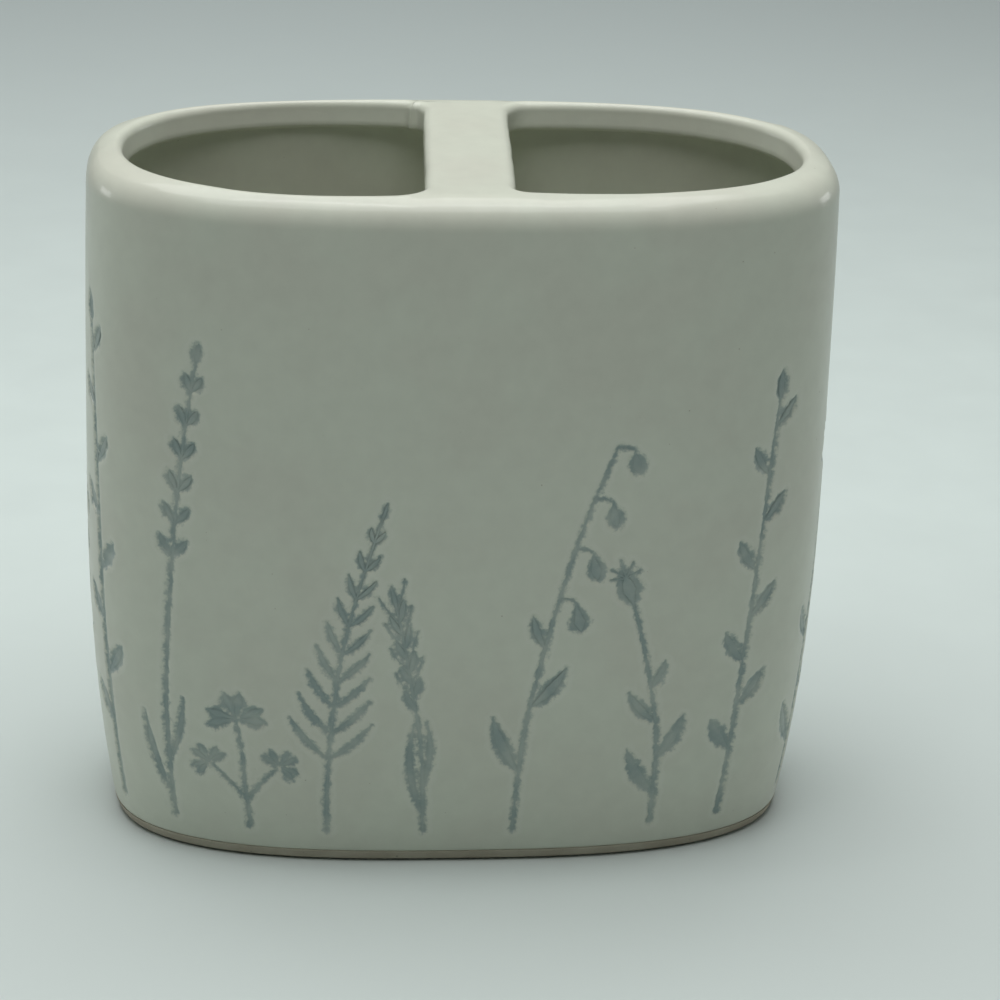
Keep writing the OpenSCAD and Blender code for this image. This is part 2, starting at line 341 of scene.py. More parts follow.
@dataclass
class Plant:
    """One plant of the drawing: its kind, its place, and how high it grows."""

    kind: PlantKind
    place_share: float
    height_share: float
    lean_share: float
    form: OvalForm = field(repr=False)
    stem_start: float = 6.0
    stem_w: float = 0.98
    leaf_l: float = 10.0
    leaf_w: float = 2.5
    bud_l: float = 3.9
    bud_w: float = 2.1
    sway: float = 0.16
    taper: float = 0.42
    stem_swell: float = 0.1
    notches: tuple[float, float] = (0.08, 0.14)
    slim_share: float = 0.17
    tooth_share: float = 0.17
    tooth_gap: float = 1.7
    toothed_from_l: float = 4.5
    toothed_from_w: float = 1.6

    # Leaves by plant: share of the stem, turn away from it, length and width as shares of
    # the usual leaf's, and curl
    LAVENDER_LEAVES = ((0.04, 26, 1.5, 0.6, -22), (0.12, -24, 1.25, 0.55, 20))
    BELL_LEAVES = ((0.16, 40, 1.1, 1, -24), (0.34, -42, 0.85, 1, 24), (0.5, 44, 0.55, 0.8, -24))
    GRASS_LEAVES = ((0.06, 22, 1.7, 0.62, -34), (0.2, -20, 1.2, 0.55, 30))
    POD_LEAVES = ((0.14, 44, 1, 1, -28), (0.3, -46, 0.85, 1, 28), (0.48, 46, 0.7, 0.85, -28),
                  (0.63, -46, 0.5, 0.7, 24))
    POD_RAYS = (-64, -32, 0, 32, 64)

    @property
    def height(self) -> float:
        """Height of the plant above the start of its stem."""
        return self.height_share * self.form.top_z

    def on_stem(self, share: float) -> np.ndarray:
        """Point of the stem at a share of its way, 0 at the foot and 1 at the tip.

        Args:
            share: share of the stem's way.

        Returns:
            The flat point.
        """
        bend = self.lean_share * self.height * share * share
        return np.array([self.place_share * self.form.way_round + bend,
                         self.stem_start + self.height * share])

    def heading(self, share: float) -> float:
        """Heading of the stem in degrees, 90 straight up."""
        return math.degrees(math.atan2(1, 2 * self.lean_share * share))

    def stem(self) -> Stroke:
        """The stem, thinner towards its tip, a little uneven and with ragged edges.

        Returns:
            The stroke.
        """
        shares = np.linspace(0, 1, 2 * int(self.height / 3) + 5)
        points = np.array([self.on_stem(share) for share in shares])
        beat = self.place_share * 97
        points[:, 0] += self.sway * np.sin(shares * 9 + beat) * np.sin(shares * math.pi)
        number = np.arange(len(shares))
        least, more = self.notches
        notches = (-1.0) ** number * (least + more * np.abs(np.sin(1.7 * number + beat)))
        swell = 1 + self.stem_swell * np.sin(shares * 23 + beat) + notches
        widths = self.stem_w * (1 - self.taper * shares) * swell
        return Stroke(points, widths / 2)

    def blade(self, root: np.ndarray, heading: float, run: float, width: float,
              curl: float = 0.0, fullness: float = 0.5) -> Stroke:
        """A leaf, petal or bud that grows from a point.

        Args:
            root: where it starts.
            heading: its heading in degrees at the start.
            run: its length.
            width: its greatest width.
            curl: how far it turns towards its tip, in degrees.
            fullness: where it is widest, as a share of its length.

        Returns:
            The stroke.
        """
        toothed = run > self.toothed_from_l and width > self.toothed_from_w
        shares = np.linspace(0, 1, 2 * int(run / self.tooth_gap) + 3 if toothed else 9)
        turn = np.radians(heading + curl * shares)
        steps = np.stack([np.cos(turn), np.sin(turn)], axis=1)
        points = root + run * np.concatenate(
            [[[0, 0]], np.cumsum((steps[1:] + steps[:-1]) / 2, axis=0)]) / (len(shares) - 1)
        bend = math.log(0.5) / math.log(fullness)
        swell = np.sin(math.pi * np.clip(shares, 0, 1) ** bend).clip(0, 1) ** 1.1
        if toothed:
            swell *= 1 + self.tooth_share * (-1.0) ** np.arange(len(shares))
        slim = self.slim_share * self.stem_w
        return Stroke(points, slim + (width / 2 - slim) * swell)

    def leaf(self, share: float, turn: float, run: float, width: float,
             curl: float = 0.0, fullness: float = 0.5) -> Stroke:
        """A blade on the stem, turned away from the stem's heading by turn degrees."""
        return self.blade(self.on_stem(share), self.heading(share) + turn, run, width,
                          curl, fullness)

    def leaves(self, rows: Sequence[tuple[float, float, float, float, float]],
               side: int = 1) -> list[Stroke]:
        """Leaves on the stem.

        Args:
            rows: the leaves, as in the tables of this class.
            side: -1 where left and right are changed over.

        Returns:
            The strokes.
        """
        return [self.leaf(share, side * turn, self.leaf_l * run, self.leaf_w * width,
                          side * curl) for share, turn, run, width, curl in rows]

    def strokes(self) -> list[Stroke]:
        """All strokes of the plant.

        Returns:
            The stem, then the rest.
        """
        grow: dict[PlantKind, Callable[[], list[Stroke]]] = {
            PlantKind.FERN: self.fern, PlantKind.LAVENDER: self.lavender,
            PlantKind.BELLS: self.bells, PlantKind.GRASS: self.grass,
            PlantKind.POD: self.pod, PlantKind.CLOVER: self.clover,
            PlantKind.SPRIG: self.sprig}
        return [self.stem(), *grow[self.kind]()]

    def fern(self) -> list[Stroke]:
        """Pairs of leaflets that get shorter towards the tip.

        Returns:
            The strokes.
        """
        pairs = [self.leaf(0.24 + 0.085 * i, side * (56 - 2 * i),
                           self.leaf_l * (0.92 - 0.085 * i), self.leaf_w * 0.52, side * -26)
                 for i in range(9) for side in (-1, 1)]
        return [*pairs, self.leaf(0.98, 0, self.bud_l * 0.8, self.stem_w)]

    def lavender(self) -> list[Stroke]:
        """Whorls of buds up the tip, and two long leaves at the foot.

        Returns:
            The strokes.
        """
        buds = [self.leaf(0.58 + 0.068 * i, side * (44 - 2 * i), self.bud_l * (1 - 0.05 * i),
                          self.bud_w * 0.86, side * -18, 0.6)
                for i in range(6) for side in (-1, 1)]
        top = self.leaf(0.97, 0, self.bud_l, self.bud_w * 0.8, 0, 0.6)
        return [*buds, top, *self.leaves(self.LAVENDER_LEAVES)]

    def bells(self) -> list[Stroke]:
        """Nodding bells on short stalks, and leaves below.

        Returns:
            The strokes.
        """
        side = 1 if self.lean_share > 0 else -1
        parts = []
        for i in range(4):
            root = self.on_stem(0.62 + 0.125 * i)
            stalk = self.blade(root, 90 - side * 62, self.bud_l * 0.75, self.stem_w * 0.5,
                               -side * 75)
            tip = stalk.points[-1]
            bell = self.blade(tip, -90 + side * 12, self.bud_l * (1.25 - 0.12 * i),
                              self.bud_w * 1.35, 0, 0.66)
            parts += [stalk, bell]
        return [*parts, *self.leaves(self.BELL_LEAVES, side)]

    def grass(self) -> list[Stroke]:
        """Grains set left and right, with fine awns, and two long blades.

        Returns:
            The strokes.
        """
        parts = []
        for i in range(8):
            side = 1 if i % 2 == 0 else -1
            share = 0.56 + 0.055 * i
            parts.append(self.leaf(share, side * 30, self.bud_l * 0.95, self.bud_w * 0.78,
                                   side * -22))
            parts.append(self.leaf(share + 0.05, side * 34, self.bud_l * 1.35,
                                   self.stem_w * 0.34, side * -18))
        return [*parts, self.leaf(0.98, 0, self.bud_l * 1.2, self.bud_w * 0.6),
                *self.leaves(self.GRASS_LEAVES)]

    def pod(self) -> list[Stroke]:
        """A seed head with a crown of rays, and leaves below.

        Returns:
            The strokes.
        """
        tip, up = self.on_stem(1), self.heading(1)
        head = self.blade(tip, up, self.bud_l * 1.35, self.bud_w * 1.75, 0, 0.58)
        crown = [self.blade(head.points[-2], up + turn, self.bud_l * (0.85 - abs(turn) / 260),
                            self.stem_w * 0.52, turn * 0.25)
                 for turn in self.POD_RAYS]
        return [head, *crown, *self.leaves(self.POD_LEAVES)]

    def clover(self) -> list[Stroke]:
        """Three heart-shaped leaflets, and two smaller heads beside the stem.

        Returns:
            The strokes.
        """
        parts = []
        heads = [(self.on_stem(0.98), self.heading(1), 1.0)]
        for side in (-1, 1):
            stalk = self.leaf(0.22, side * 30, self.height * 0.46, self.stem_w * 0.7, side * 20)
            parts.append(stalk)
            heads.append((stalk.points[-1], 90 + side * 42, 0.68))
        for root, up, scale in heads:
            for i in (-1, 0, 1):
                for lobe in (-1, 1):
                    parts.append(self.blade(root, up + i * 84 + lobe * 15,
                                            self.bud_l * 1.2 * scale,
                                            self.leaf_w * 0.86 * scale, 0, 0.66))
        return parts

    def sprig(self) -> list[Stroke]:
        """Rounded leaves set left and right up the stem.

        Returns:
            The strokes.
        """
        leaves = [self.leaf(0.16 + 0.108 * i, 46 * (1 if i % 2 == 0 else -1),
                            self.leaf_l * (0.74 - 0.03 * i), self.leaf_w * (1.05 - 0.04 * i),
                            -20 * (1 if i % 2 == 0 else -1), 0.56)
                  for i in range(8)]
        return [*leaves, self.leaf(0.97, 4, self.leaf_l * 0.5, self.leaf_w * 0.8, 0, 0.5)]


# Plants by side: kind, place round the pot as a share of the way round from the middle
# of the front towards +X, height as a share of the pot's, and lean as a share of the
# plant's own height
PLANT_SHARES: dict[Side, list[tuple[PlantKind, float, float, float]]] = {
    Side.FRONT: [
        (PlantKind.LAVENDER, -0.16, 0.72, 0.08), (PlantKind.CLOVER, -0.116, 0.18, -0.06),
        (PlantKind.FERN, -0.073, 0.5, 0.16), (PlantKind.GRASS, -0.02, 0.36, -0.12),
        (PlantKind.BELLS, 0.03, 0.6, 0.2), (PlantKind.POD, 0.108, 0.36, -0.16),
        (PlantKind.SPRIG, 0.15, 0.66, 0.06)],
    Side.RIGHT: [
        (PlantKind.POD, 0.205, 0.5, 0.08), (PlantKind.FERN, 0.255, 0.42, 0.1),
        (PlantKind.LAVENDER, 0.3, 0.66, -0.08)],
    Side.BACK: [
        (PlantKind.BELLS, 0.355, 0.52, 0.2), (PlantKind.GRASS, 0.41, 0.56, 0.1),
        (PlantKind.SPRIG, 0.465, 0.44, -0.1), (PlantKind.POD, 0.52, 0.6, 0.08),
        (PlantKind.CLOVER, 0.565, 0.18, 0.06), (PlantKind.FERN, 0.612, 0.58, -0.1),
        (PlantKind.LAVENDER, 0.66, 0.5, 0.1)],
    Side.LEFT: [
        (PlantKind.GRASS, 0.71, 0.7, -0.06), (PlantKind.BELLS, 0.752, 0.46, 0.06),
        (PlantKind.SPRIG, 0.8, 0.74, -0.05)],
}


@dataclass
class Drawing:
    """All plants, and the sunk lines that they leave in the wall."""

    form: OvalForm
    line_depth: float = 0.3
    soft_edge: float = 0.4
    raised_edge: float = 0.03
    raised_at: float = 0.76
    bounds_margin: float = 2.6
    # Points beside a line: steps towards their distance, how far off it they may stay, how
    # far they may move, and the least squared slope that is reckoned with
    steps: int = 2
    off_limit: float = 0.03
    move_limit: float = 0.35
    least_square: float = 0.25

    @cached_property
    def strokes(self) -> dict[Side, list[Stroke]]:
        """Strokes of each side.

        Returns:
            The strokes by side.
        """
        return {side: [stroke for row in rows
                       for stroke in Plant(*row, form=self.form).strokes()]
                for side, rows in PLANT_SHARES.items()}

    @cached_property
    def all_strokes(self) -> list[Stroke]:
        """Strokes of all sides, one side after another."""
        return [stroke for strokes in self.strokes.values() for stroke in strokes]

    def distance(self, points: np.ndarray) -> np.ndarray:
        """Distance of each point from the nearest line's edge, less than zero in a line.

        Args:
            points: flat points, one a row.

        Returns:
            The distance of each.
        """
        gaps = np.full(len(points), self.bounds_margin)
        round_way = self.form.way_round
        for stroke in self.all_strokes:
            middle = stroke.points[:, 0].mean()
            near = points.copy()
            near[:, 0] = middle + np.mod(points[:, 0] - middle + round_way / 2,
                                         round_way) - round_way / 2
            low = (stroke.points - stroke.radii[:, None]).min(axis=0) - self.bounds_margin
            high = (stroke.points + stroke.radii[:, None]).max(axis=0) + self.bounds_margin
            close = np.nonzero(((near > low) & (near < high)).all(axis=1))[0]
            if len(close):
                gaps[close] = np.minimum(gaps[close], stroke.distance(near[close]))
        return gaps

    def depth(self, gaps: np.ndarray) -> np.ndarray:
        """How deep the wall is sunk at the given distances from a line's edge.

        Args:
            gaps: distances from a line's edge.

        Returns:
            The depth at each.
        """
        share = np.clip((self.soft_edge - gaps) / (2 * self.soft_edge), 0, 1)
        raised = np.exp(-(((gaps - self.raised_at) / (0.5 * self.raised_at)) ** 2))
        return self.line_depth * share**2 * (3 - 2 * share) - self.raised_edge * raised

    def level_points(self, gaps: Sequence[float], step: float, least: float) -> np.ndarray:
        """Points that follow the lines' middles and edges, so that the mesh's edges do too.

        Args:
            gaps: distances from the edge at which points run along the lines.
            step: distance between the points of one such run.
            least: no two points lie closer than this.

        Returns:
            The points, one a row.
        """
        taken: dict[tuple[int, int], list[tuple[float, float]]] = {}
        middles = np.concatenate([stroke.resampled(step).points
                                  for stroke in self.all_strokes])
        kept = [spaced(middles, least, taken)]
        for gap in gaps:
            rows = np.concatenate([stroke.rim_points(gap, step)
                                   for stroke in self.all_strokes])
            home = rows
            for _ in range(self.steps):
                rows = rows + self.towards(rows, gap)
            off = np.abs(self.distance(rows) - gap)
            moved = np.linalg.norm(rows - home, axis=1)
            rows = rows[(off < self.off_limit) & (moved < self.move_limit)]
            kept.append(spaced(rows, least, taken))
        return np.concatenate(kept)

    def towards(self, points: np.ndarray, gap: float, nudge: float = 0.02) -> np.ndarray:
        """Step that takes each point to the given distance from the lines' edges.

        Args:
            points: flat points, one a row.
            gap: the distance from the edge that they should have.
            nudge: step at which the slope is measured.

        Returns:
            The step of each point.
        """
        here = self.distance(points)
        slope = np.stack([self.distance(points + step) - self.distance(points - step)
                          for step in nudge * np.eye(2)], axis=1) / (2 * nudge)
        square = np.maximum((slope**2).sum(axis=1), self.least_square)
        return slope * ((gap - here) / square)[:, None]


def spaced(points: np.ndarray, least: float,
           taken: dict[tuple[int, int], list[tuple[float, float]]]) -> np.ndarray:
    """Leaves out points that lie too close to others.

    Args:
        points: the points, one a row.
        least: the least distance between two points.
        taken: points kept so far, by square of a grid; kept points are added to it.

    Returns:
        The points that are kept.
    """
    keep = []
    for x, y in points.tolist():
        column, row = int(math.floor(x / least)), int(math.floor(y / least))
        near = (other for i in (-1, 0, 1) for j in (-1, 0, 1)
                for other in taken.get((column + i, row + j), ()))
        if all((x - a) ** 2 + (y - b) ** 2 >= least**2 for a, b in near):
            taken.setdefault((column, row), []).append((x, y))
            keep.append((x, y))
    return np.array(keep).reshape(-1, 2)


# Mesh making


def triangles_between(points: np.ndarray, edges: Sequence[tuple[int, int]] = ()) -> np.ndarray:
    """Triangles between flat points, each counter-clockwise and with no point left out.

    Args:
        points: the points, one a row.
        edges: pairs of points that have to be joined.

    Returns:
        Three point numbers a row.
    """
    _, _, faces, origins, _, _ = delaunay_2d_cdt(
        [tuple(point) for point in points.tolist()], list(edges), [], 0, 1e-7)
    names = np.array([origin[0] if origin else -1 for origin in origins])
    result = names[np.array(faces)]
    a, b, c = (points[result[:, k]] for k in range(3))
    area = (b[:, 0] - a[:, 0]) * (c[:, 1] - a[:, 1]) - (b[:, 1] - a[:, 1]) * (c[:, 0] - a[:, 0])
    result[area < 0] = result[area < 0][:, ::-1]
    return result[np.abs(area) > 1e-9]


def inside_polygon(points: np.ndarray, polygon: np.ndarray) -> np.ndarray:
    """Whether each point lies inside a closed polygon.

    Args:
        points: flat points, one a row.
        polygon: its corners in order.

    Returns:
        True for each point inside.
    """
    x, y = points[:, :1], points[:, 1:]
    ax, ay = polygon[:, 0], polygon[:, 1]
    bx, by = np.roll(ax, -1), np.roll(ay, -1)
    spans = (ay[None] > y) != (by[None] > y)
    with np.errstate(divide="ignore", invalid="ignore"):
        crossing = ax + (y - ay) * (bx - ax) / (by - ay)
    return (spans & (x < crossing)).sum(axis=1) % 2 == 1


class Skin:
    """Points and faces of one mesh while it is put together, in millimetres."""

    def __init__(self) -> None:
        """Starts with nothing."""
        self.points: list[np.ndarray] = []
        self.faces: list[tuple[int, ...]] = []
        self.count = 0

    def add(self, points: np.ndarray) -> np.ndarray:
        """Adds points and returns their numbers.

        Args:
            points: the points, one a row.

        Returns:
            Their numbers.
        """
        self.points.append(np.asarray(points, float).reshape(-1, 3))
        numbers = np.arange(self.count, self.count + len(self.points[-1]))
        self.count += len(numbers)
        return numbers

    def band(self, low: np.ndarray, high: np.ndarray) -> None:
        """Joins two closed loops of as many points with four-sided faces.

        Args:
            low: numbers of one loop's points.
            high: numbers of the other loop's points.
        """
        after_low, after_high = np.roll(low, -1), np.roll(high, -1)
        self.faces += list(zip(low.tolist(), after_low.tolist(), after_high.tolist(),
                               high.tolist()))

    def bands(self, rings: Sequence[np.ndarray]) -> list[np.ndarray]:
        """Adds loops of points and joins each to the next.

        Args:
            rings: the loops' points, from the first loop to the last.

        Returns:
            The numbers of each loop's points.
        """
        numbers = [self.add(ring) for ring in rings]
        for low, high in zip(numbers, numbers[1:]):
            self.band(low, high)
        return numbers

    def fan(self, ring: np.ndarray, middle: np.ndarray) -> None:
        """Closes a loop of points with triangles to one middle point."""
        centre = int(self.add(middle)[0])
        self.faces += list(zip(ring.tolist(), np.roll(ring, -1).tolist(), [centre] * len(ring)))

    def triangles(self, rows: np.ndarray) -> None:
        """Adds three-sided faces."""
        self.faces += [tuple(row) for row in rows.tolist()]

    def mesh(self, name: str) -> Mesh:
        """Makes the mesh.

        Args:
            name: the mesh's name.

        Returns:
            The mesh, shaded smooth.
        """
        mesh = bpy.data.meshes.new(name)
        mesh.from_pydata((np.concatenate(self.points) * MM).tolist(), [], self.faces)
        mesh.validate()
        shade_smooth(mesh, SKIN_SMOOTH_LIMIT)
        return mesh


def shade_smooth(mesh: Mesh, limit: float) -> None:
    """Shades a mesh smooth but for edges sharper than the limit in degrees."""
    mesh.shade_smooth()
    mesh.set_sharp_from_angle(angle=math.radians(limit))


def add_object(name: str, data: ID) -> Object:
    """Puts new data into the scene under a name.

    Args:
        name: the object's name.
        data: its mesh, curve, lamp or camera.

    Returns:
        The object.
    """
    obj = bpy.data.objects.new(name, data)
    bpy.context.scene.collection.objects.link(obj)
    return obj


def set_point_value(mesh: Mesh, name: str, values: np.ndarray) -> None:
    """Stores one number for each point of a mesh under a name."""
    attribute = mesh.attributes.new(name, "FLOAT", "POINT")
    attribute.data.foreach_set("value", np.asarray(values, np.float32))


def finish_piece(mesh: Mesh, slot: str, *replaced: str) -> Object:
    """Puts a finished piece into the scene, hands it to the frame and reports it.

    Args:
        mesh: the piece's mesh, whose name the piece takes.
        slot: the record's material slot for its finish; not used.
        replaced: the CAD nodes that it stands for.

    Returns:
        The piece.
    """
    obj = add_object(mesh.name, mesh)
    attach(obj, BODY)
    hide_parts(*replaced)
    mesh.calc_loop_triangles()
    log.info("%s: %d triangles, stands for %s", obj.name, len(mesh.loop_triangles),
             ", ".join(replaced))
    return obj


# Pieces


@dataclass
class PotWall:
    """The bellied wall with its sunk lines, from the foot up to the deck's underside."""

    form: OvalForm
    drawing: Drawing
    foot_z: float
    floor_z: float
    deck_z: float
    wall_t: float = 3.4
    columns: int = 240
    line_gaps: tuple[float, ...] = (0.36, 0.0, -0.3, 0.72, 1.15)
    line_step: float = 0.55
    least_gap: float = 0.3
    clear_gap: float = 0.35
    foot_rises: tuple[float, ...] = (0.18, 0.4, 0.75, 1.3, 2.2, 3.4)
    row_step: float = 1.6
    row_gap: float = 1.5
    drawn_share: float = 0.86
    plain_rows: int = 6
    plain_gaps: tuple[float, float] = (2.0, 0.5)
    deck_gap: float = 0.3
    shoulder_step: float = 0.4
    inner_rows: int = 14
    jitter: float = 0.02
    seed: int = 7
    unevenness: float = 0.1
    glaze_stop_h: float = 0.9
    glaze_stop_depth: float = 0.16

    # Waves of the unevenness: swings round the pot, swings from foot to deck, phase, weight
    WAVES = ((3, 5, 0, 1), (5, -7, 1.3, 0.7), (2, 11, 2.1, 0.5))
    WAVE_LIFT = 1.2

    def row_heights(self) -> np.ndarray:
        """Heights of the rows of points between the lowest and the highest.

        Returns:
            The heights, lowest first.
        """
        foot_rows = self.foot_z + np.array(self.foot_rises)
        drawn_rows = np.arange(foot_rows[-1] + self.row_gap,
                               self.drawn_share * self.form.top_z, self.row_step)
        below, above = self.plain_gaps
        plain_rows = np.linspace(drawn_rows[-1] + below, self.form.shoulder_z - above,
                                 self.plain_rows)
        shoulder_rows = np.arange(self.form.shoulder_z, self.deck_z - self.deck_gap,
                                  self.shoulder_step)
        return np.concatenate([foot_rows, drawn_rows, plain_rows, shoulder_rows])

    def flat_points(self) -> np.ndarray:
        """Points of the outer face laid out flat: lowest row, highest row, then the rest.

        Returns:
            The points, one a row.
        """
        ways = self.form.column_ways(self.columns)
        pitch = ways[1]
        rng = np.random.default_rng(self.seed)
        borders = [np.stack([ways, np.full(self.columns, z)], axis=1)
                   for z in (self.foot_z, self.deck_z)]
        rows = []
        for number, z in enumerate(self.row_heights()):
            shifted = ways + (pitch / 2 if number % 2 else 0.0)
            jitter = rng.uniform(-self.jitter, self.jitter, (self.columns, 2))
            rows.append(np.stack([shifted, np.full(self.columns, z)], axis=1) + jitter)
        plain = np.concatenate(rows)
        clear = self.drawing.distance(plain) > max(self.line_gaps) + self.clear_gap
        lines = self.drawing.level_points(self.line_gaps, self.line_step, self.least_gap)
        lines[:, 0] = np.mod(lines[:, 0], self.form.way_round)
        return np.concatenate([*borders, plain[clear], lines])

    def wave(self, flat: np.ndarray) -> np.ndarray:
        """Slow unevenness of the cast wall, nothing at its two ends.

        Args:
            flat: flat points, one a row.

        Returns:
            The depth at each.
        """
        turn = 2 * math.pi * flat[:, 0] / self.form.way_round
        rise = (flat[:, 1] - self.foot_z) / (self.deck_z - self.foot_z)
        swing = swings(self.WAVES, turn, rise)
        ends = np.clip(np.sin(math.pi * rise), 0, 1) ** 2
        return self.unevenness * 0.5 * (swing + self.WAVE_LIFT) * ends

    def glaze_bead(self, flat: np.ndarray) -> np.ndarray:
        """How far the glaze draws back just above the bare foot."""
        rise = np.clip((flat[:, 1] - self.foot_z) / self.glaze_stop_h, 0, 1)
        return self.glaze_stop_depth * (1 - np.sqrt(np.clip(1 - (1 - rise) ** 2, 0, 1)))

    def outer_place(self, flat: np.ndarray) -> np.ndarray:
        """Points of the outer face, lines and unevenness included.

        Args:
            flat: flat points, one a row.

        Returns:
            The points in space.
        """
        depth = (self.drawing.depth(self.drawing.distance(flat)) + self.wave(flat)
                 + self.glaze_bead(flat))
        return self.form.place(self.form.turn_at(flat[:, 0]), flat[:, 1], depth)

    def outer_normals(self, flat: np.ndarray, nudge: float = 0.04) -> np.ndarray:
        """Directions square to the outer face at its points.

        Args:
            flat: flat points, one a row.
            nudge: step at which the slopes are measured.

        Returns:
            The unit direction at each.
        """
        across, rise = (self.outer_place(flat + step) - self.outer_place(flat - step)
                        for step in nudge * np.eye(2))
        return unit(np.cross(across, rise))

    def outer_triangles(self, flat: np.ndarray, margin: float = 6.0) -> np.ndarray:
        """Triangles of the outer face, closed all the way round the pot.

        Args:
            flat: flat points, one a row.
            margin: how far the two ends of the way overlap.

        Returns:
            Three point numbers a row.
        """
        round_way = self.form.way_round
        early = np.nonzero(flat[:, 0] < margin)[0]
        late = np.nonzero(flat[:, 0] > round_way - margin)[0]
        numbers = np.concatenate([np.arange(len(flat)), early, late])
        spread = np.concatenate([flat, flat[early] + [round_way, 0], flat[late] - [round_way, 0]])
        rows = triangles_between(spread)
        middle = spread[rows, 0].mean(axis=1)
        return numbers[rows[(middle >= 0) & (middle < round_way)]]

    def build(self, finish: "Glaze") -> Object:
        """Makes the wall as one closed piece.

        Args:
            finish: the glaze that covers it.

        Returns:
            The piece.
        """
        flat = self.flat_points()
        skin = Skin()
        outer = skin.add(self.outer_place(flat))
        skin.triangles(self.outer_triangles(flat))
        outer_faces = len(skin.faces)
        turns = self.form.column_turns(self.columns)
        inner_heights = [self.deck_z, *np.linspace(self.deck_z - self.row_gap, self.floor_z,
                                                   self.inner_rows), self.foot_z]
        inner = [skin.add(self.form.place(turns, np.float64(z), self.wall_t))
                 for z in inner_heights]
        skin.band(outer[self.columns:2 * self.columns], inner[0])
        for high, low in zip(inner, inner[1:]):
            skin.band(high, low)
        skin.band(inner[-1], outer[:self.columns])
        mesh = skin.mesh("pot_wall")
        self.set_normals(mesh, flat, outer_faces)
        gaps = np.full(skin.count, self.drawing.bounds_margin)
        gaps[:len(flat)] = self.drawing.distance(flat)
        set_point_value(mesh, "line_gap", gaps)
        mesh.materials.append(finish.material("wall_glaze", drawn=True))
        return finish_piece(mesh, "glaze", "body_wall")

    def set_normals(self, mesh: Mesh, flat: np.ndarray, outer_faces: int) -> None:
        """Gives the outer face its exact shading directions.

        Args:
            mesh: the wall's mesh, whose first points and faces are the outer face's.
            flat: the outer face's points laid out flat.
            outer_faces: how many faces the outer face has.
        """
        exact = self.outer_normals(flat)
        corners = np.empty(len(mesh.loops) * 3, np.float32)
        mesh.corner_normals.foreach_get("vector", corners)
        corners = corners.reshape(-1, 3)
        points = np.empty(len(mesh.loops), np.int32)
        mesh.loops.foreach_get("vertex_index", points)
        in_outer = np.arange(len(points)) < 3 * outer_faces
        corners[in_outer] = exact[points[in_outer]]
        mesh.normals_split_custom_set(corners.tolist())


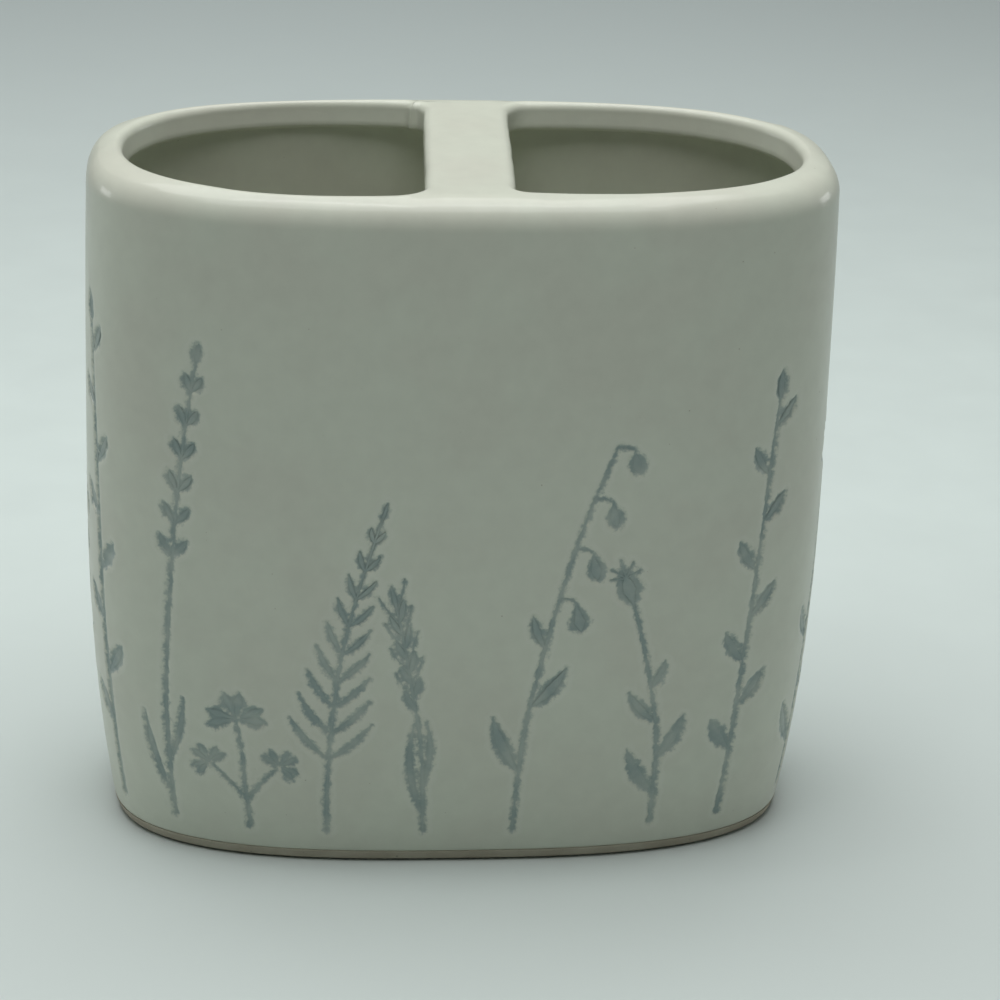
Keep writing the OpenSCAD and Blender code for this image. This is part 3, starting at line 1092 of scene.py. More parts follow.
@dataclass
class Opening:
    """One of the two openings in the deck, as a flat outline."""

    form: OvalForm
    side: int
    end_rim: float
    front_rim: float
    back_rim: float
    front_corner_r: float
    back_corner_r: float
    bar_w: float
    bar_shift: float
    bar_turn: float
    power: float = 2.2
    middle_share: float = 0.3
    trembling: float = 0.1
    step: float = 0.45
    # Burr on the back edge: height, half width, and way from the bar and from the back
    burr_h: float = 0.0
    burr_w: float = 0.55
    burr_from_bar: float = 1.7
    burr_from_back: float = 1.0
    turn_share: float = 0.8
    oval_points: int = 2401

    # Waves of the tremble: swings round the opening, swing by side, phase, weight
    TREMBLES = ((4, 1, 0, 1), (9, 0, 2, 0.6), (17, 3, 0, 0.35))

    def bar_edge(self) -> tuple[np.ndarray, np.ndarray]:
        """A point of the bar's edge, and the direction from the bar into the opening.

        Returns:
            The point and the unit direction.
        """
        turn = math.radians(-self.bar_turn)
        into = self.side * np.array([math.cos(turn), math.sin(turn)])
        return np.array([self.bar_shift, 0.0]) + into * self.bar_w / 2, into

    def oval(self) -> np.ndarray:
        """Finely spaced points of the oval that the opening lies in, from front to back.

        Returns:
            The points, one a row.
        """
        reach = self.turn_share * math.pi
        turn = np.linspace(-reach, reach, self.oval_points)
        middle = self.middle_share * self.form.half_w
        half_w = self.form.half_w - self.form.shoulder_tuck - self.end_rim - middle
        rims = np.where(turn < 0, self.front_rim, self.back_rim)
        half_d = self.form.half_d - self.form.shoulder_tuck - rims
        return np.stack([self.side * (middle + half_w * swollen(np.cos(turn), self.power)),
                         half_d * swollen(np.sin(turn), self.power)], axis=1)

    def corner(self, oval: np.ndarray, radius: float, back: bool) -> tuple[int, np.ndarray]:
        """Rounds a corner beside the bar.

        Args:
            oval: points of the oval from front to back.
            radius: the corner's radius.
            back: whether it is the back corner.

        Returns:
            The number of the oval's point that the rounding reaches, and the rounding's
            points in the order front, bar, back.
        """
        edge, into = self.bar_edge()
        along = unit(np.gradient(oval, axis=0))
        inward = self.side * np.stack([-along[:, 1], along[:, 0]], axis=1)
        centres = oval + inward * radius
        gap = (centres - edge) @ into - radius
        half = len(oval) // 2
        number = half + int(np.argmin(np.abs(gap[half:]))) if back \
            else int(np.argmin(np.abs(gap[:half])))
        centre = centres[number]
        start, end = oval[number] - centre, -into * radius
        from_turn = math.atan2(start[1], start[0])
        sweep = math.remainder(math.atan2(end[1], end[0]) - from_turn, 2 * math.pi)
        count = max(3, int(abs(sweep) * radius / self.step) + 2)
        turns = from_turn + sweep * np.linspace(0, 1, count)[1:]
        arc = centre + radius * np.stack([np.cos(turns), np.sin(turns)], axis=1)
        return number, arc

    def outline(self) -> np.ndarray:
        """Evenly spaced points round the opening, counter-clockwise seen from above.

        Returns:
            The points, one a row.
        """
        oval = self.oval()
        first, front_arc = self.corner(oval, self.front_corner_r, back=False)
        last, back_arc = self.corner(oval, self.back_corner_r, back=True)
        loop = np.concatenate([oval[first:last + 1], back_arc, front_arc[::-1]])
        if self.side < 0:
            loop = loop[::-1]
        closed = np.concatenate([loop, loop[:1]])
        run = run_along(closed)
        at = np.linspace(0, run[-1], int(run[-1] / self.step) + 1)[:-1]
        even = points_at(at, run, closed)
        beat = 2 * math.pi * at / run[-1]
        swing = swings(self.TREMBLES, beat, self.side)
        edge, into = self.bar_edge()
        off = np.hypot((even - edge) @ into - self.burr_from_bar,
                       np.clip(even[:, 1].max() - self.burr_from_back - even[:, 1], 0,
                               None))
        burr = self.burr_h * np.exp(-((off / self.burr_w) ** 2))
        return even + self.outward(even) * (self.trembling * 0.5 * swing - burr)[:, None]

    def narrowed(self, outline: np.ndarray, flare: float) -> np.ndarray:
        """The outline drawn in by the flare, but not beside the bar.

        Args:
            outline: the outline.
            flare: how far it is drawn in.

        Returns:
            The new outline.
        """
        out = self.outward(outline)
        beside_bar = np.clip(-(out @ self.bar_edge()[1]), 0, 1)
        return outline - out * (flare * (1 - beside_bar**2))[:, None]

    @staticmethod
    def outward(loop: np.ndarray) -> np.ndarray:
        """Unit directions out of a counter-clockwise loop at its points.

        Args:
            loop: the loop's points in order.

        Returns:
            The direction at each.
        """
        along = unit(np.roll(loop, -1, axis=0) - np.roll(loop, 1, axis=0))
        return np.stack([along[:, 1], -along[:, 0]], axis=1)


@dataclass
class Deck:
    """Shoulder, rim and bar: one cast face that is then told apart into two pieces."""

    form: OvalForm
    deck_z: float
    bar_box: tuple[np.ndarray, np.ndarray]
    end_rim: float = 5.4
    # Openings: side, rims in front and behind, corner radii in front and behind, burr
    cuts: tuple[tuple[float, ...], ...] = ((-1, 4.4, 4.4, 5.0, 3.0, 0.7),
                                           (1, 5.9, 5.0, 2.2, 4.0, 0.0))
    flare: float = 0.4
    bar_w: float = 13.0
    bar_shift: float = 0.5
    bar_turn: float = 3.2
    lip_r: float = 1.4
    under_r: float = 0.6
    columns: int = 240
    lip_steps: int = 7
    under_steps: int = 5
    side_shares: tuple[float, ...] = (0.35, 0.75)
    ring_reach: float = 1.6
    ring_steps: int = 13
    first_ring_gap: float = 0.004
    row_reaches: tuple[float, ...] = (2.0, 2.4, 2.9, 3.4, 4.0, 4.6, 5.4)
    grid_reach: float = 5.8
    grid_half: tuple[int, int] = (14, 23)
    grid_jitter: float = 0.08
    grid_seed: int = 11
    lip_clear: float = 0.4
    least_gap: float = 0.45
    bar_room_share: float = 0.5

    def openings(self) -> list[Opening]:
        """The left and the right opening.

        Returns:
            The two openings.
        """
        return [Opening(self.form, side, self.end_rim, front_rim, back_rim, front_corner_r,
                        back_corner_r, self.bar_w, self.bar_shift, self.bar_turn,
                        burr_h=burr_h)
                for side, front_rim, back_rim, front_corner_r, back_corner_r, burr_h
                in self.cuts]

    def drop(self, points: np.ndarray, lip_drop: np.ndarray) -> np.ndarray:
        """How far the top lies below its highest level.

        Args:
            points: plan points.
            lip_drop: drop from the rounding of the nearest opening's edge.

        Returns:
            The drop with the shoulder's rounding blended in.
        """
        run = np.clip(self.form.implied_inset(points) - self.form.shoulder_tuck, 0,
                      self.form.shoulder_r)
        radius = self.form.shoulder_r
        shoulder = radius - np.sqrt(radius**2 - (radius - run) ** 2)
        return (shoulder**3 + lip_drop**3) ** (1 / 3)

    def top_place(self, points: np.ndarray, lip_drop: np.ndarray | float) -> np.ndarray:
        """Points of the top face above plan points."""
        drops = self.drop(points, np.broadcast_to(lip_drop, len(points)))
        return np.column_stack([points, self.form.top_z - drops])

    def shoulder_rings(self) -> list[np.ndarray]:
        """Rings from the deck's underside up over the shoulder.

        Returns:
            The points of each ring, lowest ring first.
        """
        radius = self.form.shoulder_r
        start = math.asin((self.deck_z - self.form.shoulder_z) / radius)
        end = math.acos(1 - self.ring_reach / radius)
        angles = np.concatenate([[start, start + self.first_ring_gap],
                                 np.linspace(start, end, self.ring_steps)[1:]])
        return [self.form.ring(self.columns,
                               self.form.shoulder_tuck + radius * (1 - math.cos(angle)),
                               self.form.shoulder_z + radius * math.sin(angle))
                for angle in angles]

    def top_points(self, outlines: Sequence[np.ndarray]) -> np.ndarray:
        """Plan points of the top between the shoulder's last ring and the openings.

        Args:
            outlines: the highest loop of each opening.

        Returns:
            The points, one a row.
        """
        rows = [self.form.ring(self.columns, self.form.shoulder_tuck + reach, 0.0)[:, :2]
                for reach in self.row_reaches]
        x, y = np.meshgrid(*(np.arange(-half, half + 1, 1.0) for half in self.grid_half))
        rng = np.random.default_rng(self.grid_seed)
        grid = np.stack([x.ravel(), y.ravel()], axis=1)
        inner = self.form.implied_inset(grid) > self.form.shoulder_tuck + self.grid_reach
        rows.append(grid[inner] + rng.uniform(-self.grid_jitter, self.grid_jitter,
                                              (inner.sum(), 2)))
        points = np.concatenate(rows)
        for outline in outlines:
            gap = np.sqrt(((points[:, None] - outline[None]) ** 2).sum(axis=2)).min(axis=1)
            points = points[(gap > self.lip_r + self.lip_clear)
                            & ~inside_polygon(points, outline)]
        return spaced(points, self.least_gap, {})

    def build_whole(self) -> Mesh:
        """Makes shoulder, rim and bar as one closed mesh.

        Returns:
            The mesh.
        """
        skin = Skin()
        rings = skin.bands(self.shoulder_rings())
        tops, unders = [], []
        for opening in self.openings():
            top, under = self.lip(skin, opening)
            tops.append(top)
            unders.append(under)
        flat_ring = np.concatenate(skin.points)[:, :2]
        middle = self.top_points([flat_ring[top] for top in tops])
        middle_numbers = skin.add(self.top_place(middle, 0.0))
        self.fill(skin, rings[-1], tops, middle_numbers, upward=True)
        self.fill(skin, rings[0], unders, np.empty(0, int), upward=False)
        return skin.mesh("deck_and_bar")

    def lip(self, skin: Skin, opening: Opening) -> tuple[np.ndarray, np.ndarray]:
        """Adds an opening's rounded edge and its flared side wall.

        Args:
            skin: the mesh in the making.
            opening: the opening.

        Returns:
            The numbers of the highest loop's points and of the lowest loop's.
        """
        outline = opening.outline()
        outward = Opening.outward(outline)
        low_outline = opening.narrowed(outline, self.flare)
        rings = []
        for turn in np.linspace(math.pi / 2, 0, self.lip_steps + 1):
            loop = outline + outward * self.lip_r * (1 - math.cos(turn))
            rings.append(self.top_place(loop, self.lip_r * (1 - math.sin(turn))))
        low_z = self.deck_z + self.under_r
        for share in self.side_shares:
            z = rings[self.lip_steps][:, 2] * (1 - share) + low_z * share
            rings.append(np.column_stack([outline * (1 - share) + low_outline * share, z]))
        for turn in np.linspace(0, math.pi / 2, self.under_steps):
            loop = low_outline + outward * self.under_r * (1 - math.cos(turn))
            z = np.full(len(loop), low_z - self.under_r * math.sin(turn))
            rings.append(np.column_stack([loop, z]))
        numbers = skin.bands(rings)
        return numbers[0], numbers[-1]

    @staticmethod
    def fill(skin: Skin, border: np.ndarray, holes: Sequence[np.ndarray], free: np.ndarray,
             upward: bool) -> None:
        """Fills the flat stretch between a border and the openings with triangles.

        Args:
            skin: the mesh in the making.
            border: numbers of the outer loop's points.
            holes: numbers of each opening's loop of points.
            free: numbers of the points in between.
            upward: whether the faces look up.
        """
        plan = np.concatenate(skin.points)[:, :2]
        loops = [border, *holes]
        numbers = np.concatenate([*loops, free])
        edges, start = [], 0
        for loop in loops:
            edges += [(start + k, start + (k + 1) % len(loop)) for k in range(len(loop))]
            start += len(loop)
        rows = triangles_between(plan[numbers], edges)
        middles = plan[numbers][rows].mean(axis=1)
        keep = inside_polygon(middles, plan[border])
        for hole in holes:
            keep &= ~inside_polygon(middles, plan[hole])
        chosen = numbers[rows[keep]]
        skin.triangles(chosen if upward else chosen[:, ::-1])

    def split(self, whole: Mesh, keep_bar: bool, name: str) -> Mesh:
        """Cuts the bar out of the whole and closes the cuts.

        Args:
            whole: the mesh with shoulder, rim and bar.
            keep_bar: whether the bar is kept, or all but the bar.
            name: name of the new mesh.

        Returns:
            The new mesh.
        """
        low, high = self.bar_box
        bm = bmesh.new()
        bm.from_mesh(whole)
        reach = self.bar_room_share * self.form.half_w * MM
        for y in (low[1], high[1]):
            verts = [v for v in bm.verts if abs(v.co.x) < reach]
            inside = set(verts)
            edges = [e for e in bm.edges if all(v in inside for v in e.verts)]
            faces = [f for f in bm.faces if all(v in inside for v in f.verts)]
            bmesh.ops.bisect_plane(bm, geom=[*verts, *edges, *faces], dist=CUT_TOLERANCE,
                                   plane_co=(0, y, 0), plane_no=(0, 1, 0))
        in_bar = [f for f in bm.faces if abs(f.calc_center_median().x) < reach
                  and low[1] < f.calc_center_median().y < high[1]]
        chosen = set(in_bar)
        doomed = [f for f in bm.faces if f not in chosen] if keep_bar else in_bar
        bmesh.ops.delete(bm, geom=doomed, context="FACES")
        open_edges = [e for e in bm.edges if e.is_boundary]
        bmesh.ops.holes_fill(bm, edges=open_edges, sides=0)
        bmesh.ops.recalc_face_normals(bm, faces=bm.faces)
        mesh = bpy.data.meshes.new(name)
        bm.to_mesh(mesh)
        bm.free()
        shade_smooth(mesh, SKIN_SMOOTH_LIMIT)
        return mesh

    def build(self, finish: "Glaze") -> list[Object]:
        """Makes the deck and the bar.

        Args:
            finish: the glaze that covers them.

        Returns:
            The two pieces.
        """
        whole = self.build_whole()
        material = finish.material("deck_glaze", drawn=False)
        pieces = []
        for name, node, keep_bar in (("deck", "top_deck", False), ("bar", "divider_bar", True)):
            mesh = self.split(whole, keep_bar, name)
            mesh.materials.append(material)
            pieces.append(finish_piece(mesh, "glaze", node))
        bpy.data.meshes.remove(whole)
        return pieces


@dataclass
class PotFloor:
    """Floor of the hollow, with a soft fillet up the wall and a slightly raised underside."""

    form: OvalForm
    foot_z: float
    floor_z: float
    wall_t: float = 3.4
    fillet_r: float = 4.0
    fillet_steps: int = 10
    columns: int = 240
    dome: float = 0.5
    under_shares: tuple[float, ...] = (0.05, 0.2, 0.4, 0.6, 0.8, 0.9, 1.0)
    top_shares: tuple[float, ...] = (0.9, 0.7, 0.5, 0.3, 0.1)

    def wall_inset(self, z: float) -> float:
        """Inset of the wall's inner face at height z."""
        return float(self.form.inset(np.float64(z))) + self.wall_t

    def build(self, finish: "Glaze") -> Object:
        """Makes the floor.

        Args:
            finish: the glaze that covers it.

        Returns:
            The piece.
        """
        low_inset = self.wall_inset(self.foot_z)
        rings = [self.form.ring(self.columns, low_inset,
                                self.foot_z + self.dome * (1 - share**2), share)
                 for share in self.under_shares]
        for turn in np.linspace(0, math.pi / 2, self.fillet_steps):
            z = self.floor_z + self.fillet_r * (1 - math.sin(turn))
            inset = self.wall_inset(z) + self.fillet_r * (1 - math.cos(turn))
            rings.append(self.form.ring(self.columns, inset, z))
        top_inset = self.wall_inset(self.floor_z) + self.fillet_r
        rings += [self.form.ring(self.columns, top_inset, self.floor_z, share)
                  for share in self.top_shares]
        skin = Skin()
        numbers = skin.bands(rings)
        skin.fan(numbers[0][::-1], np.array([0, 0, self.foot_z + self.dome]))
        skin.fan(numbers[-1], np.array([0, 0, self.floor_z]))
        mesh = skin.mesh("pot_floor")
        mesh.materials.append(finish.material("floor_glaze", drawn=False))
        return finish_piece(mesh, "glaze", "base_plate")


class Wiring:
    """Puts nodes into one tree and joins them."""

    def __init__(self, tree: NodeTree) -> None:
        """Takes an existing tree and empties it."""
        self.tree = tree
        tree.nodes.clear()

    def add(self, kind: str, inputs: dict | None = None, **settings: object) -> Node:
        """Adds a node.

        Args:
            kind: the node's type, such as ShaderNodeMath.
            inputs: values, or other nodes' outputs, by the input's name or number.
            settings: the node's own properties.

        Returns:
            The node.
        """
        node = self.tree.nodes.new(kind)
        for name, value in settings.items():
            setattr(node, name, value)
        for name, value in (inputs or {}).items():
            if isinstance(value, NodeSocket):
                self.tree.links.new(value, node.inputs[name])
            else:
                node.inputs[name].default_value = value
        return node

    def math(self, operation: str, *values: object) -> NodeSocket:
        """Adds a Math node and returns its result."""
        return self.add("ShaderNodeMath", dict(enumerate(values)),
                        operation=operation).outputs[0]

    def ramp(self, value: NodeSocket, start: object, end: object, low: object = 0.0,
             high: object = 1.0) -> NodeSocket:
        """Adds a smooth step from low at start to high at end.

        Args:
            value: what is stepped.
            start: where the step starts.
            end: where it ends.
            low: result before it.
            high: result after it.

        Returns:
            The result.
        """
        return self.add("ShaderNodeMapRange",
                        {"Value": value, "From Min": start, "From Max": end, "To Min": low,
                         "To Max": high}, interpolation_type="SMOOTHSTEP").outputs["Result"]

    def mix(self, share: object, first: object, second: object,
            blend: str = "MIX") -> NodeSocket:
        """Adds a colour mix and returns its result."""
        return self.add("ShaderNodeMix", {0: share, 6: first, 7: second}, data_type="RGBA",
                        blend_type=blend).outputs[2]


def new_tree(name: str, kind: str, inputs: Sequence[tuple[str, str, object]],
             outputs: Sequence[tuple[str, str]]) -> tuple[NodeTree, dict[str, str]]:
    """Makes an empty node group with named sockets.

    Args:
        name: the group's name.
        kind: the tree's type, ShaderNodeTree or GeometryNodeTree.
        inputs: name, socket type and starting value of each input.
        outputs: name and socket type of each output.

    Returns:
        The group, and the identifier of each input by its name.
    """
    tree = bpy.data.node_groups.new(name, kind)
    identifiers = {}
    for socket_name, socket_type, value in inputs:
        socket = tree.interface.new_socket(socket_name, in_out="INPUT", socket_type=socket_type)
        if value is not None:
            socket.default_value = value
        identifiers[socket_name] = socket.identifier
    for socket_name, socket_type in outputs:
        tree.interface.new_socket(socket_name, in_out="OUTPUT", socket_type=socket_type)
    return tree, identifiers


# Finishes

Colour = tuple[float, float, float, float]


class CastSurface:
    """Shader group for fired clay and glaze: blotches, specks, uneven gloss and fine grain."""

    NAME = "cast_surface"
    BLOTCH_EDGES = (0.36, 0.66)
    # Shares of the blotches' size
    CLOUD_SIZE_SHARE = 0.17
    CLOUD_STRENGTH = 0.1
    # Shares of the speck's size
    SPECK_LEAST_SHARE = 0.5
    SPECK_SPREAD_SHARE = 0.8
    SPECK_CORE_SHARE = 0.45
    SPECK_STRENGTH = 0.62
    SPECK_PIT = 0.02
    # Size of the uneven gloss as a multiple of the grain's
    GLOSS_SIZE_SHARE = 4.0

    @classmethod
    def tree(cls) -> NodeTree:
        """The group, built when it is first asked for."""
        return bpy.data.node_groups.get(cls.NAME) or cls.build()

    @classmethod
    def build(cls) -> NodeTree:
        """Builds the group.

        Returns:
            The group; its lengths are in millimetres.
        """
        number, colour, vector = "NodeSocketFloat", "NodeSocketColor", "NodeSocketVector"
        tree, _ = new_tree(cls.NAME, "ShaderNodeTree", [
            ("Vector", vector, None), ("Colour", colour, (0.8, 0.8, 0.8, 1)),
            ("Blotch Colour", colour, (0.7, 0.7, 0.7, 1)), ("Blotch Size", number, 14.0),
            ("Blotch Strength", number, 0.5), ("Speck Colour", colour, (0.3, 0.25, 0.2, 1)),
            ("Speck Gap", number, 3.0), ("Speck Size", number, 0.14),
            ("Speck Share", number, 0.3), ("Roughness", number, 0.4),
            ("Roughness Swing", number, 0.1), ("Grain Size", number, 1.2),
            ("Grain Height", number, 0.012)],
            [("Colour", colour), ("Roughness", number), ("Height", number)])
        net = Wiring(tree)
        given = net.add("NodeGroupInput").outputs
        place = net.add("ShaderNodeVectorMath", {0: given["Vector"], "Scale": 1000.0},
                        operation="SCALE").outputs[0]

        def noise(size: object, detail: float) -> NodeSocket:
            """Noise with features of about the given size, from 0 to 1.

            Args:
                size: size of the features.
                detail: their detail.

            Returns:
                The noise.
            """
            scale = net.math("DIVIDE", 1.0, size)
            return net.add("ShaderNodeTexNoise", {"Vector": place, "Scale": scale,
                                                  "Detail": detail}).outputs[0]

        broad = net.ramp(noise(given["Blotch Size"], 4.0), *cls.BLOTCH_EDGES)
        share = net.math("MULTIPLY", broad, given["Blotch Strength"])
        blotched = net.mix(share, given["Colour"], given["Blotch Colour"])
        cloud = noise(net.math("MULTIPLY", given["Blotch Size"], cls.CLOUD_SIZE_SHARE), 3.0)
        value = net.math("MULTIPLY_ADD", net.math("SUBTRACT", cloud, 0.5),
                         cls.CLOUD_STRENGTH, 1.0)
        clouded = net.add("ShaderNodeHueSaturation", {"Value": value, "Color": blotched})
        cells = net.add("ShaderNodeTexVoronoi", {
            "Vector": place, "Scale": net.math("DIVIDE", 1.0, given["Speck Gap"])})
        away = net.math("MULTIPLY", cells.outputs["Distance"], given["Speck Gap"])
        pick = net.add("ShaderNodeSeparateColor", {0: cells.outputs["Color"]})
        reach = net.math("MULTIPLY", given["Speck Size"],
                         net.math("MULTIPLY_ADD", pick.outputs[1], cls.SPECK_SPREAD_SHARE,
                                  cls.SPECK_LEAST_SHARE))
        near = net.ramp(away, net.math("MULTIPLY", reach, cls.SPECK_CORE_SHARE), reach, 1.0,
                        0.0)
        chosen = net.math("LESS_THAN", pick.outputs[0], given["Speck Share"])
        speck = net.math("MULTIPLY", near, chosen)
        specked = net.mix(net.math("MULTIPLY", speck, cls.SPECK_STRENGTH),
                          clouded.outputs[0], given["Speck Colour"])
        grain = noise(given["Grain Size"], 3.0)
        rise = net.math("SUBTRACT", net.math("MULTIPLY", grain, given["Grain Height"]),
                        net.math("MULTIPLY", speck, cls.SPECK_PIT))
        gloss_size = net.math("MULTIPLY", given["Grain Size"], cls.GLOSS_SIZE_SHARE)
        swing = net.math("SUBTRACT", noise(gloss_size, 2.0), 0.5)
        rough = net.math("MULTIPLY_ADD", swing, given["Roughness Swing"], given["Roughness"])
        net.add("NodeGroupOutput", {"Colour": specked, "Roughness": rough, "Height": rise})
        return tree


def surfaced(net: Wiring, **values: object) -> Node:
    """Adds the cast surface to a material with its own values.

    Args:
        net: the material's wiring.
        values: the group's inputs, with underscores for spaces.

    Returns:
        The group's node.
    """
    place = net.add("ShaderNodeTexCoord").outputs["Object"]
    node = net.add("ShaderNodeGroup", node_tree=CastSurface.tree())
    net.tree.links.new(place, node.inputs["Vector"])
    for name, value in values.items():
        node.inputs[name.replace("_", " ")].default_value = value
    return node


def shaded(net: Wiring, colour: NodeSocket, roughness: NodeSocket,
           height: NodeSocket, **constants: float) -> None:
    """Ends a material with a Principled BSDF that takes colour, roughness and relief.

    Args:
        net: the material's wiring.
        colour: its colour.
        roughness: its roughness.
        height: its relief in millimetres.
        constants: values set on the shader's own sockets, with underscores for spaces.
    """
    bump = net.add("ShaderNodeBump", {"Height": height, "Distance": MM, "Strength": 1.0})
    shader = net.add("ShaderNodeBsdfPrincipled", {
        "Base Color": colour, "Roughness": roughness, "Normal": bump.outputs[0],
        **{name.replace("_", " "): value for name, value in constants.items()}})
    net.add("ShaderNodeOutputMaterial", {"Surface": shader.outputs[0]})


def new_material(name: str) -> tuple[Material, Wiring]:
    """Makes a material with an empty node tree.

    Args:
        name: the material's name.

    Returns:
        The material and its wiring.
    """
    material = bpy.data.materials.new(name)
    material.use_nodes = True
    return material, Wiring(material.node_tree)


@dataclass(frozen=True)
class Glaze:
    """Satin cream glaze; where it is drawn on, underglaze colour shows in the lines, and a
    painted highlight pales their raised edges.
    """

    colour: Colour = (0.66, 0.692, 0.587, 1)
    blotch_colour: Colour = (0.63, 0.636, 0.545, 1)
    # Colour of the painted highlight, a pale band on the raised edge beside each line
    painted_highlight_colour: Colour = (0.72, 0.735, 0.66, 1)
    speck_colour: Colour = (0.34, 0.31, 0.24, 1)
    roughness: float = 0.42
    reflectance: float = 0.24
    sheen_gloss: float = 0.3
    sheen_roughness: float = 0.09
    # Where drawn on: the frayed edge's pitch (waves in a metre) and reach, the start, end and
    # strength of the painted highlight on the lines' raised edges, and how far the colour
    # bleeds, in millimetres from the edge
    fray_pitch: float = 1150.0
    fray_reach: float = 1.7
    painted_highlight_rise: tuple[float, float] = (0.35, 0.6)
    painted_highlight_fall: tuple[float, float] = (0.75, 1.25)
    painted_highlight_strength: float = 0.25
    bleed: tuple[float, float] = (-0.24, 0.4)
    line_roughening: float = 0.06

    def material(self, name: str, drawn: bool) -> Material:
        """Makes the glaze's material.

        Args:
            name: the material's name.
            drawn: whether the piece has sunk lines.

        Returns:
            The material.
        """
        material, net = new_material(name)
        base = surfaced(net, Colour=self.colour, Blotch_Colour=self.blotch_colour,
                        Blotch_Size=17.0, Blotch_Strength=0.55, Speck_Colour=self.speck_colour,
                        Speck_Gap=2.4, Speck_Size=0.12, Speck_Share=0.3,
                        Roughness=self.roughness, Roughness_Swing=0.14, Grain_Size=1.5,
                        Grain_Height=0.011).outputs
        colour, roughness = base["Colour"], base["Roughness"]
        if drawn:
            colour, roughness = self.over_lines(net, colour, roughness)
        shaded(net, colour, roughness, base["Height"], IOR=1.5,
               Specular_IOR_Level=self.reflectance, Coat_Weight=self.sheen_gloss,
               Coat_Roughness=self.sheen_roughness)
        return material

    def over_lines(self, net: Wiring, colour: NodeSocket,
                   roughness: NodeSocket) -> tuple[NodeSocket, NodeSocket]:
        """Lets the drawn colour bleed softly into the glaze and paints a highlight on the lines'
        raised edges.

        Args:
            net: the material's wiring.
            colour: the glaze's colour.
            roughness: the glaze's roughness.

        Returns:
            The new colour and roughness.
        """
        gap = net.add("ShaderNodeAttribute", attribute_name="line_gap").outputs["Fac"]
        place = net.add("ShaderNodeTexCoord").outputs["Object"]
        fray = net.add("ShaderNodeTexNoise", {"Vector": place, "Scale": self.fray_pitch,
                                              "Detail": 3.0, "Roughness": 0.62}).outputs[0]
        edge = net.math("ADD", gap, net.math("MULTIPLY_ADD", fray, self.fray_reach,
                                             -0.5 * self.fray_reach))
        # Painted highlight: the raised edge beside each line is paled
        rim = net.math("MULTIPLY", net.ramp(edge, *self.painted_highlight_rise),
                       net.ramp(edge, *self.painted_highlight_fall, 1.0, 0.0))
        highlighted = net.mix(net.math("MULTIPLY", rim, self.painted_highlight_strength), colour,
                        self.painted_highlight_colour)
        tint = net.ramp(edge, *self.bleed, 1.0, 0.0)
        line = LineColour().surface(net)
        return (net.mix(tint, highlighted, line["Colour"]),
                net.math("MULTIPLY_ADD", tint, self.line_roughening, roughness))


@dataclass(frozen=True)
class LineColour:
    """Grey-blue underglaze that lies in the sunk lines."""

    colour: Colour = (0.3, 0.372, 0.355, 1)
    blotch_colour: Colour = (0.44, 0.495, 0.445, 1)

    def surface(self, net: Wiring) -> NodeOutputs:
        """Adds the colour's surface to a material and returns its outputs.

        Args:
            net: the material's wiring.

        Returns:
            Colour, roughness and height.
        """
        return surfaced(net, Colour=self.colour, Blotch_Colour=self.blotch_colour,
                        Blotch_Size=4.2, Blotch_Strength=0.85,
                        Speck_Colour=(0.5, 0.55, 0.5, 1), Speck_Gap=1.1, Speck_Size=0.15,
                        Speck_Share=0.4, Roughness=0.46, Roughness_Swing=0.12, Grain_Size=0.7,
                        Grain_Height=0.012).outputs

    def material(self) -> Material:
        """Makes the material.

        Returns:
            The material.
        """
        material, net = new_material("line_colour")
        base = self.surface(net)
        shaded(net, base["Colour"], base["Roughness"], base["Height"], IOR=1.5)
        return material


@dataclass(frozen=True)
class BareClay:
    """Unglazed fired clay, wiped clean before the firing."""

    colour: Colour = (0.5, 0.46, 0.37, 1)
    blotch_colour: Colour = (0.42, 0.37, 0.29, 1)

    def material(self) -> Material:
        """Makes the material.

        Returns:
            The material.
        """
        material, net = new_material("bare_clay")
        base = surfaced(net, Colour=self.colour, Blotch_Colour=self.blotch_colour,
                        Blotch_Size=6.0, Blotch_Strength=0.8, Speck_Colour=(0.2, 0.17, 0.13, 1),
                        Speck_Gap=1.4, Speck_Size=0.2, Speck_Share=0.4, Roughness=0.84,
                        Roughness_Swing=0.12, Grain_Size=0.4, Grain_Height=0.04).outputs
        shaded(net, base["Colour"], base["Roughness"], base["Height"], IOR=1.45)
        return material


# Pieces made by Geometry Nodes


def sweep(net: Wiring, curve: NodeSocket, section: NodeSocket,
          finish: NodeSocket, **more: object) -> None:
    """Ends a tree with a section swept along a curve, its normals kept level, and dressed.

    Args:
        net: the tree's wiring.
        curve: the curve.
        section: the section.
        finish: the material.
        more: the sweep's other inputs, with underscores for spaces.
    """
    level = net.add("GeometryNodeSetCurveNormal", {"Curve": curve}, mode="Z_UP")
    swept = net.add("GeometryNodeCurveToMesh", {
        "Curve": level.outputs[0], "Profile Curve": section,
        **{name.replace("_", " "): value for name, value in more.items()}})
    whole = net.add("GeometryNodeRealizeInstances", {0: swept.outputs[0]})
    dressed = net.add("GeometryNodeSetMaterial", {
        "Geometry": whole.outputs[0], "Material": finish})
    net.add("NodeGroupOutput", {0: dressed.outputs[0]})


def poly_curve(name: str, strokes: Sequence[tuple[np.ndarray, np.ndarray]],
               closed: bool) -> Curve:
    """Makes a curve of straight stretches.

    Args:
        name: the curve's name.
        strokes: each spline's points in millimetres and its radii.
        closed: whether the splines are closed.

    Returns:
        The curve.
    """
    curve = bpy.data.curves.new(name, "CURVE")
    curve.dimensions = "3D"
    for points, radii in strokes:
        spline = curve.splines.new("POLY")
        spline.points.add(len(points) - 1)
        rows = np.column_stack([points * MM, np.ones(len(points))])
        spline.points.foreach_set("co", rows.ravel())
        spline.points.foreach_set("radius", radii)
        spline.use_cyclic_u = closed
    return curve


